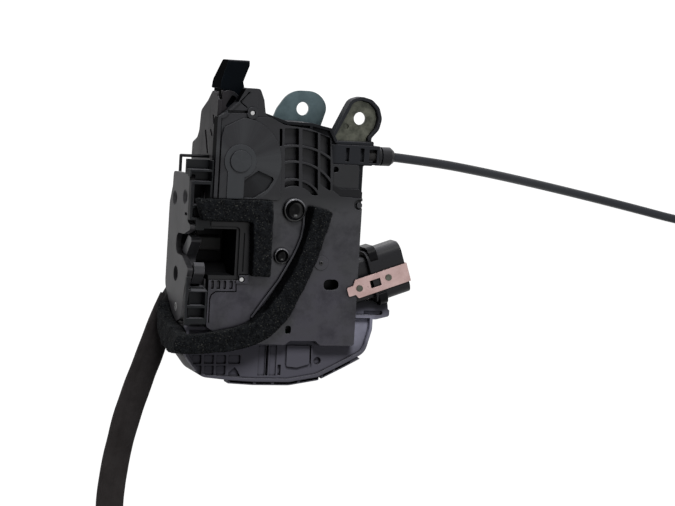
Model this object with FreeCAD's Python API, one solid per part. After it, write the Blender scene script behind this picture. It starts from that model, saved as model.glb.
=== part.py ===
import FreeCAD, Part
import math
import os

# Door latch with its actuator, left-hand door, lying on its back.
# +X runs forward in the car, +Y up, +Z towards the inside of the door.
# The origin is the middle of the closed striker on the outer face of the face plate.

# Levels through the thickness
cover_face = 21.5
cover_wall = 2.2
deck_level = 15.5
deck_wall = 2.2
rim_height = 2.5
rim_width = 1.7
tub_back = -12.0
tub_wall = 2.2
rest_plane = -29.5
play = 0.3

# Face plate and pivot plate
plate_thickness = 3.2
striker_radius = 5.5
notch_play = 0.5
notch_depth = 6.2
mouth_lower = -12.6
mouth_upper = 9.9
screw_bore = 5.0
screw_sink = 9.0
screw_sink_depth = 1.6
screw_places = [(25.5, -13.5), (27.8, 8.0)]
screw_seat_half = 3.3
frame_depth = 9.0
frame_back = plate_thickness + frame_depth
frame_cells_top = 50.0
pivot_plate_thickness = 2.0

# Mouth pocket
pocket_end = 28.0
pocket_lower = -16.0
pocket_upper = 11.0
pocket_floor = -6.8
pocket_wall = 2.4
pocket_step = -11.0
pocket_step_high = 5.0
fit_gap = 0.2
bezel_right = 35.2
bezel_top = 15.4
bezel_height = 0.6
bezel_step = 1.1

# Claw and pawl, both turning about X behind the face plate
claw_pivot = (-18.0, -4.0)
claw_side_play = 0.45
spring_room = 2.55
spring_gap = 0.25
claw_thickness = frame_depth - claw_side_play - spring_room
coat = 1.2
claw_low_radius = 11.5
claw_tooth_radius = 13.8
tooth_face_angle = 125.0
tooth_step = 22.0
tooth_width_angle = 10.0
nose_top = 13.0
nose_reach = 5.2
arm_inner = 6.2
rear_arm_reach = 9.0
rear_arm_bottom = -13.2
claw_pin_radius = 4.0
claw_hub_radius = claw_pin_radius + 3.0
claw_opening = 44.0
pawl_pivot = (-37.2, -0.6)
pawl_hub = 4.4
pawl_pin_radius = 2.6
pawl_lift = 11.0
pawl_gap_angle = 1.0
pawl_dog_angle = 9.0
pawl_dog_radius = 12.0
pawl_arm_radius = 16.8
pawl_peg = (-32.2, 6.2)
pawl_peg_radius = 1.4
pawl_lug = (-26.0, -12.0)
pawl_lug_radius = 1.5
lifter_thickness = 2.4
pin_play = 0.05
spring_wire = 1.1
spring_pitch = spring_wire * 0.93

# Actuator drive
wheel_place = (61.9, 23.2)
wheel_teeth = 40
wheel_module = 1.1
wheel_low = 0.0
wheel_width = 8.0
tooth_share = 0.42
tooth_tip = 0.9
tooth_root = 1.15
axle_radius = 2.5
worm_pitch_radius = 3.6
worm_root_radius = 2.5
worm_length = 20.0
worm_shaft_radius = 1.2
pinion_teeth = 20
pinion_width = 5.0
sector_teeth_full = 60
lock_pivot = (27.5, 50.4)
lock_hub = 6.2
lock_low = 9.0
lock_thickness = 4.0
axle_low = -10.5
motor_radius = 12.0
motor_flat = 10.0
motor_length = 30.0
motor_front = 2.0

# Inside release lever
lever_pivot = (55.6, -3.8)
lever_low = -6.4
lever_thickness = 2.6
lever_pin_radius = 2.2
cable_height = 12.0
cable_line = 55.9
nipple_rest = 44.0
nipple_radius = 2.4
wire_radius = 0.75
wire_play = 0.35
tab_offset = 2.8
tab_thickness = 2.0

# Outside lever
outside_pivot = (72.0, 5.0)
outside_pin_radius = 2.5
lever_front = 12.6

# Connector
connector_mouth = (134.2, -8.8)
connector_angle = 19.0
shroud_length = 31.5
shroud_wall = 1.9
shroud_low = 2.0
shroud_corner = 6.0
socket_depth = 17.0
collar_width = 2.2
collar_back = -20.4
collar_front = -15.4
housing_right = 105.6

# Metal clip over the connector
clip_offset = -3.0
clip_thickness = 1.0
rivet_places = [(-31.6, 0.0), (-12.4, 0.6)]
rivet_radius = 1.2

# Foam seals
foam_height = 6.0
wrap_left = -6.0
wrap_right = 1.5

# Lip round the lower edge
lip_reach = 2.2
lip_slot = 1.1
lip_low = 9.0
lip_high = 17.0
lip_slots = [(30.2, 44.3), (46.2, 55.4), (57.3, 71.7), (73.5, 84.4), (87.6, 93.7), (95.0, 104.2)]

# Ribs and lines moulded on the cover
grid_floor = 16.6
grid_rib = 1.2
grid_rows = [13.3, 17.7, 28.0, 37.2, 60.0]
domes = [(wheel_place, 6.8, 2.6, 0.9), (lever_pivot, 4.6, 1.8, 0.7)]
bowl_floor = 0.9
line_width = 0.7
line_depth = 0.9
peg_radius = 1.25
peg_places = [(33.4, 78.2), (32.2, -18.0)]

# Inside handle cable, its coil and its far end
conduit_radius = 2.75
cable_route = [
    (123.2, 55.9, 12.0), (152.0, 53.6, 9.8), (187.8, 48.7, 1.6), (226.4, 42.6, -11.6), (268.9, 35.2, -22.6),
    (310.0, 27.4, -26.75), (346.0, 20.0, -26.75), (376.0, 16.8, -26.75)]
coil_centre = (382.0, -13.0)
coil_radius = 30.0
tail_route = [(412.0, -13.0, -21.25), (412.0, -27.0, -21.6), (412.0, -42.0, -26.2), (412.0, -56.0, -26.75)]
tail_end = -56.0
sleeve_radius = 2.75

# Felt wrapped lead
lead_width = 15.0
lead_height = 8.0
lead_route = [
    (5.2, -35.0, -25.5), (-2.0, -52.0, -25.5), (-7.6, -70.0, -25.5), (-14.9, -91.0, -25.5), (-21.2, -113.0,
                                                                                             -25.5),
    (-25.8, -138.0, -25.5), (-28.0, -164.0, -25.5), (-24.6, -190.0, -25.5), (-16.4, -212.0, -25.5)]

# Circuit board and its posts
board_low = 10.0
board_thickness = 1.6
board_gap = 1.0
board_posts = [(40.0, -47.0), (68.0, -47.0), (96.0, -47.0), (52.0, -31.0), (69.0, -17.0)]

# Mounting ears
ear_one = (75.6, 81.2)
ear_one_hole = 4.0
ear_two = (104.6, 77.6)
ear_two_hole = 3.8
ear_thickness = 2.0

V = FreeCAD.Vector


def rounded_face(corners):
    count = len(corners)
    starts = []
    ends = []
    middles = []
    for index in range(count):
        corner = corners[index]
        before = corners[index - 1]
        after = corners[(index + 1) % count]
        here = V(corner[0], corner[1], 0)
        radius = corner[2] if len(corner) > 2 else 0.0
        if radius <= 0:
            starts.append(here)
            ends.append(here)
            middles.append(None)
            continue
        back = (V(before[0], before[1], 0) - here).normalize()
        ahead = (V(after[0], after[1], 0) - here).normalize()
        half = back.getAngle(ahead) / 2.0
        reach = radius / math.tan(half)
        bisector = (back + ahead).normalize()
        centre = here + bisector * (radius / math.sin(half))
        starts.append(here + back * reach)
        ends.append(here + ahead * reach)
        middles.append(centre - bisector * radius)
    edges = []
    for index in range(count):
        following = (index + 1) % count
        if middles[index] is not None:
            arc = Part.Arc(starts[index], middles[index], ends[index])
            edges.append(arc.toShape())
        if ends[index].distanceToPoint(starts[following]) > 1e-6:
            edges.append(Part.LineSegment(ends[index], starts[following]).toShape())
    return Part.Face(Part.Wire(edges))


def slab(corners, low, high):
    face = rounded_face(corners)
    face.translate(V(0, 0, low))
    return face.extrude(V(0, 0, high - low))


def to_side(shape):
    turned = shape.copy()
    turned.Placement = FreeCAD.Placement(V(0, 0, 0), FreeCAD.Rotation(V(1, 1, 1), 120))
    return turned


def side_slab(corners, left, right):
    face = rounded_face(corners)
    face = to_side(face)
    face.translate(V(left, 0, 0))
    return face.extrude(V(right - left, 0, 0))


def rounded_box(x0, x1, y0, y1, radius):
    return [(x0, y0, radius), (x1, y0, radius), (x1, y1, radius), (x0, y1, radius)]


def box(x0, x1, y0, y1, z0, z1):
    return Part.makeBox(x1 - x0, y1 - y0, z1 - z0, V(x0, y0, z0))


def post(place, radius, low, high):
    return Part.makeCylinder(radius, high - low, V(place[0], place[1], low), V(0, 0, 1))


def rod_x(place, radius, left, right):
    return Part.makeCylinder(radius, right - left, V(left, place[0], place[1]), V(1, 0, 0))


def rod_y(x, z, radius, start, end):
    return Part.makeCylinder(radius, end - start, V(x, start, z), V(0, 1, 0))


def around(place, radius, angle):
    turn = math.radians(angle)
    return (place[0] + radius * math.cos(turn), place[1] + radius * math.sin(turn))


def strip(points, width, low, high):
    pieces = []
    for first, second in zip(points, points[1:]):
        run = math.hypot(second[0] - first[0], second[1] - first[1])
        across = (first[1] - second[1]) * width / run / 2
        along = (second[0] - first[0]) * width / run / 2
        pieces.append(slab([
            (first[0] + across, first[1] + along), (second[0] + across, second[1] + along),
            (second[0] - across, second[1] - along), (first[0] - across, first[1] - along)], low, high))
        pieces.append(post(second, width / 2, low, high))
    return pieces[0].fuse(pieces[1:])


def edge_band(outline, grown, shrunk, low, high):
    face = rounded_face(outline)
    outer = face.makeOffset2D(grown) if grown else face
    inner = face.makeOffset2D(shrunk) if shrunk else face
    ring = outer.cut(inner)
    ring.translate(V(0, 0, low))
    return ring.extrude(V(0, 0, high - low))


def write(name, shape):
    solids = shape.Solids
    if not shape.isValid():
        print("not valid:", name)
    shape.exportStep("parts/" + name + ".step")
    size = shape.BoundBox
    print("%-22s solids %2d volume %8.0f  X %6.1f %6.1f  Y %6.1f %6.1f  Z %6.1f %6.1f" % (
        name, len(solids), shape.Volume, size.XMin, size.XMax, size.YMin, size.YMax, size.ZMin, size.ZMax))


# Outlines
plate_outline = [
    (41.0, 15.2, 3), (41.0, -19.0, 3), (32.4, -19.5, 2), (22.0, -24.6, 6), (-27.0, -25.8, 8),
    (-40.0, -10.5, 6), (-45.6, 2.0, 6), (-43.0, 9.6, 3), (-25.4, 15.2, 6), (mouth_lower, 21.3, 1.5)]
plate_upper = [(mouth_upper, 21.1, 1.5), (12.7, 21.1, 1.5), (14.2, 15.2, 2)]
notch_side = striker_radius + notch_play
notch_outline = [
    (mouth_lower, 21.3, 1.5), (-notch_side - 0.4, 8.0, 6), (-notch_side, -notch_depth, 5.2),
    (notch_side, -notch_depth, 5.2), (notch_side + 0.4, 9.0, 6), (mouth_upper, 21.1, 1.5)]

frame_outline = [
    (40.4, 21.5, 1), (40.4, -18.4, 3), (32.0, -19.0, 2), (21.8, -24.0, 6), (-26.6, -25.2, 8),
    (-39.4, -10.2, 6), (-45.0, 2.0, 4), (-45.0, 21.5, 1)]

housing_left = frame_back + pivot_plate_thickness + fit_gap
tower_left = frame_back + 1.0
tower_bore_end = 42.0
cover_left = frame_back + 0.4
housing_outline = [
    (housing_left, -46.4), (housing_left, 41.6), (tower_left, 41.6), (tower_left, 75.4, 2),
    (17.4, 77.8, 2), (24.6, 84.2, 3), (29.0, 92.0, 1.5), (38.2, 92.0, 1.5), (40.4, 79.0, 3),
    (46.0, 77.4, 2), (56.0, 74.2, 4), (71.2, 73.9, 4), (83.8, 71.4, 1), (87.5, 64.6), (111.5, 64.6, 1),
    (111.5, 50.2, 1), (105.6, 50.2, 1), (105.6, -38.5, 1), (116.6, -38.5, 2), (116.6, -47.0, 6),
    (112.8, -61.0, 9), (99.0, -68.2, 6), (84.0, -75.6, 8), (66.0, -78.6, 12), (44.0, -78.4, 12),
    (26.0, -77.2, 8), (11.5, -75.6, 9), (1.8, -63.0, 9), (1.8, -46.4, 1)]
cavity_outline = [
    (housing_left + tub_wall, -43.0, 2), (housing_left + tub_wall, 61.5, 3), (36.0, 63.6, 4),
    (54.0, 69.8, 4), (80.0, 67.4, 3), (83.2, 61.0, 3), (83.2, 48.0, 2), (103.2, 48.0, 2),
    (103.2, -40.8, 1), (114.2, -41.0, 2), (114.2, -47.0, 5), (110.6, -59.4, 7), (97.8, -66.0, 5),
    (83.0, -73.2, 7), (65.8, -76.2, 10), (44.2, -76.0, 10), (26.6, -74.8, 7), (13.0, -73.2, 7),
    (4.2, -62.0, 7), (4.2, -49.0, 2), (14.0, -49.0, 2)]
cover_outline = [
    (cover_left, -46.0, 2), (cover_left, 75.2, 3), (17.2, 77.6, 2), (24.4, 84.1, 3), (28.8, 92.3, 1.5),
    (38.2, 92.2, 2), (40.8, 86.0, 2), (42.2, 77.4, 3), (53.5, 72.2, 4), (69.0, 70.6, 5), (82.2, 66.2, 2),
    (84.4, 50.6, 1), (102.0, 50.6, 1.5), (102.2, 36.4, 1.5), (104.2, 34.8, 1), (104.2, -56.4, 1.5),
    (83.0, -56.4, 1), (79.8, -53.7, 1), (64.0, -53.7, 1), (61.0, -56.0, 1), (30.0, -55.6, 6)]
opening_outline = [
    (17.0, -42.0, 2), (17.0, 60.5, 3), (36.0, 62.6, 4), (54.0, 67.6, 4), (79.0, 63.6, 3),
    (80.6, 47.0, 2), (99.0, 47.0, 2), (101.2, 33.0, 2), (101.2, -53.0, 2), (31.0, -52.6, 5)]


def face_plate():
    outline = plate_outline + notch_outline[1:-1] + plate_upper
    plate = side_slab(outline, 0.0, plate_thickness)
    cuts = []
    for place in screw_places + [claw_pivot]:
        cuts.append(rod_x(place, screw_bore / 2, -1.0, plate_thickness + 1.0))
        sink = Part.makeCone(screw_sink / 2, screw_bore / 2, screw_sink_depth, V(0, place[0], place[1]),
                             V(1, 0, 0))
        cuts.append(sink)
    cuts.append(rod_x(claw_pivot, claw_pin_radius, screw_sink_depth, plate_thickness + 1.0))
    cuts.append(rod_x(pawl_pivot, pawl_pin_radius, -1.0, plate_thickness + 1.0))
    cuts.append(box(-1.0, plate_thickness + 1.0, 17.4, 19.0, 8.8, 13.8))
    return plate.cut(cuts)


def sweep_room(left, right):
    room = [rod_x(claw_pivot, claw_tooth_radius + 1.2, left, right)]
    wedge = [claw_pivot]
    for angle in (-38, -14, 10, 34, 58, 82, 106):
        wedge.append(around(claw_pivot, 28.4, angle))
    room.append(side_slab(wedge, left, right))
    room.append(rod_x(pawl_pivot, pawl_hub + 0.5, left, right))
    hollow = [
        around(claw_pivot, claw_tooth_radius, 100), around(claw_pivot, claw_tooth_radius, 190),
        (-37.6, -5.4), (-41.9, -1.4), (-42.2, 5.5), (-33.5, 12.2), (-24.0, 13.6)]
    room.append(side_slab(hollow, left, right))
    room.append(side_slab([claw_pivot, (-13.0, -17.5), (8.5, -15.5), (10.5, -10.0)], left, right))
    return room


def pocket_profile(grow, top):
    slant = grow * math.tan(math.radians(22.5))
    return [
        (pocket_lower - grow, top), (pocket_lower - grow, pocket_step_high - slant),
        (pocket_step - grow, pocket_step_high - pocket_step + pocket_lower - slant),
        (pocket_step - grow, pocket_floor - grow), (pocket_upper + grow, pocket_floor - grow),
        (pocket_upper + grow, top)]


def latch_frame():
    back = frame_back
    block = side_slab(frame_outline, plate_thickness, back)
    lower_lip = box(-0.6, plate_thickness, -45.0, -17.2, 19.4, cover_face)
    upper_lip = box(-0.6, plate_thickness, 15.6, 40.4, 17.0, cover_face)
    upper_cells = box(-1.6, back, 40.4, frame_cells_top, 16.8, cover_face)
    cell_root = box(plate_thickness, back, 40.0, frame_cells_top, 11.0, 17.0)
    cell_front = box(-1.6, plate_thickness + 0.1, plate_outline[0][0] + play, frame_cells_top,
                     11.0, 17.0)
    body = block.fuse([lower_lip, upper_lip, upper_cells, cell_root, cell_front])
    mouth_space = [
        (mouth_lower + 0.2, 30.0), (mouth_lower + 0.2, 12.0), (-7.0, pocket_floor), (7.0, pocket_floor),
        (mouth_upper, 12.0), (mouth_upper, 30.0)]
    cuts = [side_slab(mouth_space, -5.0, back + 1.0)]
    cuts.append(side_slab(pocket_profile(0.0, 40.0), back - 1.0, back + 1.0))
    cuts.append(box(8.0, back, pocket_lower, pocket_upper, 12.0, 40.0))
    cuts.extend(sweep_room(plate_thickness - 1.0, back + 0.01))
    for start, end in ((-24.4, -17.6), (-33.6, -25.8), (-41.0, -35.0)):
        cuts.append(box(0.6, back - 1.0, start, end, 15.8, 30.0))
    for start, end, floor in ((16.8, 22.6, 16.6), (24.0, 36.2, screw_places[1][1] - 4.2)):
        cuts.append(box(0.8, back - 1.3, start, end, floor, 30.0))
    cuts.append(box(-2.6, back - 0.8, 44.6, 51.0, 13.6, 30.0))
    cuts.append(box(-0.9, back - 0.8, 38.0, 43.4, 15.6, 30.0))
    for place in screw_places:
        cuts.append(box(plate_thickness - 1.0, back + 1.0, place[0] - screw_seat_half,
                        place[0] + screw_seat_half,
                        place[1] - screw_seat_half, place[1] + screw_seat_half))
    return body.cut(cuts).removeSplitter()


def mouth_pocket():
    back = frame_back
    end = pocket_end + pocket_wall
    cup = side_slab(pocket_profile(pocket_wall, cover_face), back, end)
    bezel = slab([(back, pocket_lower), (back, bezel_top), (bezel_right, bezel_top, 0.8),
                  (bezel_right + 1.0, pocket_lower + 1.2, 0.8), (end, pocket_lower + 1.2),
                  (end, pocket_lower)],
                 cover_face - cover_wall, cover_face + bezel_height)
    cuts = [side_slab(pocket_profile(0.0, 40.0), back - 1.0, pocket_end)]
    cuts.append(slab([(back - 1.0, -40.0), (back - 1.0, pocket_upper + 1.6),
                      (end - 0.6, pocket_upper + 1.6, 2.6),
                      (end - 0.6, -40.0)], cover_face + bezel_height - bezel_step, 40.0))
    cuts.append(box(end + 1.8, end + 2.5, pocket_lower + 2.6, pocket_upper - 2.0,
                    cover_face + bezel_height - 0.5, 40.0))
    return cup.fuse(bezel).cut(cuts).removeSplitter()


def pivot_plate():
    left = frame_back
    right = left + pivot_plate_thickness
    outline = [
        (36.0, 14.6, 2), (36.0, -17.0, 3), (21.0, -22.0, 5), (-26.0, -23.2, 7), (-38.0, -9.0, 5),
        (-43.0, 1.0, 5), (-43.0, 11.6, 3), (-30.0, 14.6, 4)]
    plate = side_slab(outline, left, right)
    cuts = [side_slab(pocket_profile(pocket_wall + fit_gap, 40.0), left - 1, right + 1)]
    cuts.append(rod_x(claw_pivot, claw_pin_radius, left - 1, right + 1))
    cuts.append(rod_x(pawl_pivot, pawl_pin_radius, left - 1, right + 1))
    cuts.append(rod_x(pawl_peg, pawl_peg_radius + 2.0, left - 1, right + 1))
    for place in screw_places:
        cuts.append(rod_x(place, screw_bore / 2 + 0.6, left - 1, right + 1))
    return plate.cut(cuts)


def claw_points():
    low = claw_low_radius
    high = claw_tooth_radius
    points = [
        (nose_reach, arm_inner, 1.2), (nose_reach, 9.4, 1.0), (2.6, nose_top, 1.5), (-6.2, nose_top, 2),
        around(claw_pivot, low + 0.6, 76)]
    for face in (tooth_face_angle - tooth_step, tooth_face_angle):
        points.append(around(claw_pivot, low, face - tooth_width_angle - 2))
        points.append(around(claw_pivot, high, face - tooth_width_angle + 2))
        points.append(around(claw_pivot, high, face))
        points.append(around(claw_pivot, low, face))
    for angle in range(140, 255, 15):
        points.append(around(claw_pivot, low, angle))
    points.append((-13.0, rear_arm_bottom - 1.6, 3))
    points.append((rear_arm_reach - 3.0, rear_arm_bottom, 2.5))
    points.append((rear_arm_reach, -9.0, 1.5))
    points.append((rear_arm_reach, -arm_inner, 1.5))
    points.append((-8.6, -arm_inner, 4.5))
    points.append((-8.6, arm_inner, 4.5))
    return points


def claw_left():
    return plate_thickness + claw_side_play


def claw():
    left = claw_left()
    inner = rounded_face(claw_points()).makeOffset2D(-coat)
    core = to_side(inner)
    core.translate(V(left + 0.9, 0, 0))
    core = core.extrude(V(claw_thickness - 1.8, 0, 0))
    hub = rod_x(claw_pivot, claw_hub_radius, left, left + claw_thickness)
    bore = rod_x(claw_pivot, claw_pin_radius + pin_play, left - 1, left + claw_thickness + 1)
    body = core.fuse(hub).cut(bore).removeSplitter()
    return opened(body)


def opened(body):
    body.rotate(V(0, claw_pivot[0], claw_pivot[1]), V(1, 0, 0), claw_opening)
    return body


def claw_coating(core):
    left = claw_left()
    skin = opened(side_slab(claw_points(), left, left + claw_thickness))
    bore = rod_x(claw_pivot, claw_hub_radius, left - 1, left + claw_thickness + 1)
    slot = opened(box(left - 1, left + 0.6, -4.6, 3.6, 8.9, 9.6))
    return skin.cut([bore, core, slot])


def threaded_pin():
    body = rod_x(claw_pivot, claw_pin_radius, screw_sink_depth, pin_end())
    return body.cut(rod_x(claw_pivot, screw_bore / 2, 0.0, pin_end() + 1.0))


def pin_end():
    return frame_back + pivot_plate_thickness


def lifter_left():
    return pin_end() + play


def pawl_lifter():
    left = lifter_left()
    right = left + lifter_thickness
    arm = side_slab([
        (pawl_peg[0] + 3.0, pawl_peg[1], 1.5), (pawl_peg[0], pawl_peg[1] + 3.2, 2), (-38.5, 3.6, 3),
        (-41.4, -3.0, 3),
        (-36.0, -9.0, 5), (pawl_lug[0] - 2.6, pawl_lug[1] - 2.8, 2), (pawl_lug[0] + 2.8, pawl_lug[1] - 2.0,
                                                                      2),
        (pawl_lug[0] + 1.5, pawl_lug[1] + 3.0, 3), (-31.0, -3.6, 4)], left, right)
    bore = rod_x(pawl_pivot, pawl_pin_radius + pin_play, left - 1, right + 1)
    peg_hole = rod_x(pawl_peg, pawl_peg_radius, left - 1, right + 1)
    lug = rod_x(pawl_lug, pawl_lug_radius, right - 0.5, 24.5)
    return arm.fuse(lug).cut([bore, peg_hole]).removeSplitter()


def pawl():
    left = claw_left()
    lift = pawl_gap_angle
    dog_face = tooth_face_angle + lift
    points = [
        around(claw_pivot, pawl_dog_radius, dog_face), around(claw_pivot, pawl_arm_radius, dog_face),
        (-33.6, 8.2, 3), (-41.2, 3.4, 4), (-41.0, -4.2, 3), (-35.0, -4.2, 2),
        around(claw_pivot, claw_tooth_radius + 0.9, dog_face + 24),
        around(claw_pivot, claw_tooth_radius + 0.6, dog_face + pawl_dog_angle + 3),
        around(claw_pivot, pawl_dog_radius, dog_face + pawl_dog_angle)]
    arm = side_slab(points, left, left + claw_thickness)
    hub = rod_x(pawl_pivot, pawl_hub, left, left + claw_thickness)
    bore = rod_x(pawl_pivot, pawl_pin_radius + pin_play, left - 1, left + claw_thickness + 1)
    body = arm.fuse(hub).cut(bore).removeSplitter()
    body.rotate(V(0, pawl_pivot[0], pawl_pivot[1]), V(1, 0, 0), pawl_lift)
    peg = rod_x(pawl_peg, pawl_peg_radius, left + claw_thickness - 0.5, lifter_left() + lifter_thickness)
    return body.fuse(peg).removeSplitter()


def coil(place, inner_radius, left, turns):
    middle = inner_radius + spring_wire / 2
    rings = []
    for index in range(turns):
        ring = Part.makeTorus(middle, spring_wire / 2, V(left + spring_wire / 2 + index * spring_pitch,
                                                         place[0], place[1]),
                              V(1, 0, 0))
        rings.append(ring)
    return rings[0].fuse(rings[1:])


def claw_spring():
    left = claw_left() + claw_thickness + spring_gap
    return coil(claw_pivot, claw_pin_radius + 0.3, left, 2)


def pawl_spring():
    left = claw_left() + claw_thickness + spring_gap
    return coil(pawl_pivot, pawl_pin_radius + 0.3, left, 2)


def striker_bumper():
    left = frame_back
    outline = [(-5.0, pocket_floor, 1), (5.0, pocket_floor, 1), (4.0, pocket_floor + 3.6, 1.5),
               (-4.0, pocket_floor + 3.6, 1.5)]
    return side_slab(outline, left + 1.0, pocket_end - 2.0)


def tray_outline(grow):
    radius = 10.6 + grow
    centre = ear_two
    points = [(87.5 - grow, 64.0)]
    points.append((96.8 - grow, 82.2 + grow / 2, 3))
    for angle in (122, 92, 62, 32, 2, -28):
        spot = around(centre, radius / math.cos(math.radians(15)), angle)
        points.append((spot[0], spot[1], radius * 0.5))
    points.append((109.6 + grow, 66.4, 2))
    points.append((109.6 + grow, 64.0))
    return points


def tub_walls():
    whole = slab(housing_outline, tub_back, deck_level)
    deep = slab([(housing_left, -46.4), (housing_left, 57.6), (50.0, 57.6, 4), (50.0, -58.0, 10),
                 (22.0, -58.0, 6),
                 (10.0, -46.4, 2)], rest_plane, tub_back)
    ring = edge_band(housing_outline, 0.0, -rim_width, deck_level, deck_level + rim_height)
    keep = box(0.0, 122.0, -82.0, -38.4, deck_level, deck_level + rim_height)
    keep = keep.fuse(box(41.4, 88.0, 60.0, 82.0, deck_level, deck_level + rim_height))
    ring = ring.common(keep)
    tower_side = side_slab([
        (41.6, deck_level), (41.6, rest_plane + 0.4), (50.0, rest_plane + 0.4, 3), (57.8, -28.6, 2),
        (61.3, -19.1, 3),
        (65.6, -15.7, 4), (77.4, -13.7, 4), (83.8, -0.6, 6), (89.6, 7.6, 2), (88.6, 14.9, 1), (85.0, 19.3),
        (41.6, 19.3)], tower_left, tower_left + tub_wall)
    bars = []
    for x, low, high in ((44.2, 73.6, 77.4), (56.0, 71.0, 73.8), (70.4, 69.8, 73.2)):
        bars.append(box(x, x + 1.2, low, high, deck_level - 0.5, deck_level + rim_height))
    return whole.fuse([deep, ring, tower_side] + bars)


def tower_saddle():
    return slab([
        (tower_left, 64.0), (tower_left, 88.0, 1), (15.4, 91.0, 1), (17.6, 89.4, 1), (20.0, 90.4, 1.5),
        (23.7, 89.6, 1.5), (26.6, 86.9, 1), (31.0, 84.0), (31.0, 64.0)], lever_front + 1.2,
        lever_front + 4.4)


def side_slits():
    slits = [side_slab([(52.6, 2.4, 1.2), (52.6, 5.4, 1.2), (66.6, -1.4, 1.2), (66.6, -4.6, 1.2)], 0.0,
                       15.0)]
    slits.append(side_slab([(63.2, 10.0, 0.8), (63.2, 13.0, 0.8), (67.6, 8.4, 0.8), (67.6, 5.6, 0.8)], 0.0,
                           15.0))
    slits.append(side_slab([(70.6, 12.2, 1), (70.6, 14.8, 1), (76.0, 12.4, 1), (76.0, 9.8, 1)], 0.0, 15.0))
    slits.append(slab([(14.2, 84.6, 0.8), (16.4, 84.6, 0.8), (16.4, 94.0), (14.2, 94.0)], 10.0, 40.0))
    slits.append(slab([(18.0, 80.8, 1.5), (21.4, 79.6, 1.5), (25.6, 86.4, 1.5), (22.2, 88.0, 1.5)], 10.0,
                      40.0))
    return slits


def lower_lip():
    low_side = slab([(28.9, -76.0), (60.0, -76.0), (84.6, -71.6), (105.0, -61.0), (112.0, -66.0),
                     (86.0, -88.0),
                     (28.9, -88.0)], 0.0, 40.0)
    lip = edge_band(housing_outline, lip_reach, 0.0, lip_low, lip_high).common(low_side)
    slot = edge_band(housing_outline, 0.5 + lip_slot, 0.5, lip_low + 1.6, 40.0)
    slots = [box(84.9, 86.6, -90.0, -70.0, 0.0, 40.0)]
    for start, end in lip_slots:
        slots.append(slot.common(box(start, end, -90.0, -60.0, 0.0, 40.0)))
    return lip.cut(slots)


def cable_holder():
    block = box(84.6, 114.6, 50.8, 62.0, 3.0, 18.0)
    cuts = [box(93.2, 95.6, 52.4, 60.4, 8.0, 30.0), box(102.4, 105.0, 52.4, 60.4, 8.0, 30.0)]
    cuts.append(box(108.2, 113.2, 51.9, 59.9, 8.0, 30.0))
    return block.cut(cuts)


def floor_under(place):
    if place[0] < 48.0:
        return rest_plane + 1.0
    return tub_back + 1.0


def drive_seats():
    seats = [post(wheel_place, 4.6, floor_under(wheel_place), wheel_low - play)]
    motor_x = motor_line()
    worm_z = worm_height()
    for start in (motor_front - motor_length + 4.0, motor_front - 7.0):
        seats.append(box(motor_x - 9.0, motor_x + 9.0, start, start + 2.4, tub_back + 1.0,
                         worm_z - motor_flat))
    bearing_y = motor_front + 6.0 + worm_length + 1.0
    bearing_half = worm_shaft_radius + 1.4
    seats.append(box(motor_x - bearing_half, motor_x + bearing_half, bearing_y, bearing_y + 3.4,
                     tub_back + 1.0,
                     worm_z + 3.2))
    seats.append(post(lock_pivot, 4.4, floor_under(lock_pivot), lock_low - play))
    seats.append(post(lever_pivot, 4.2, floor_under(lever_pivot), lever_low - play))
    for place in board_posts:
        seats.append(post(place, 2.6, floor_under(place), board_low))
    holes = [post(wheel_place, axle_radius, axle_low, 5.0), post(lock_pivot, axle_radius, axle_low, 12.0)]
    holes.append(post(lever_pivot, lever_pin_radius, axle_low, 12.0))
    holes.append(rod_y(motor_x, worm_z, worm_shaft_radius + pin_play, bearing_y - 1.0, bearing_y + 6.0))
    return seats, holes


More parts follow.
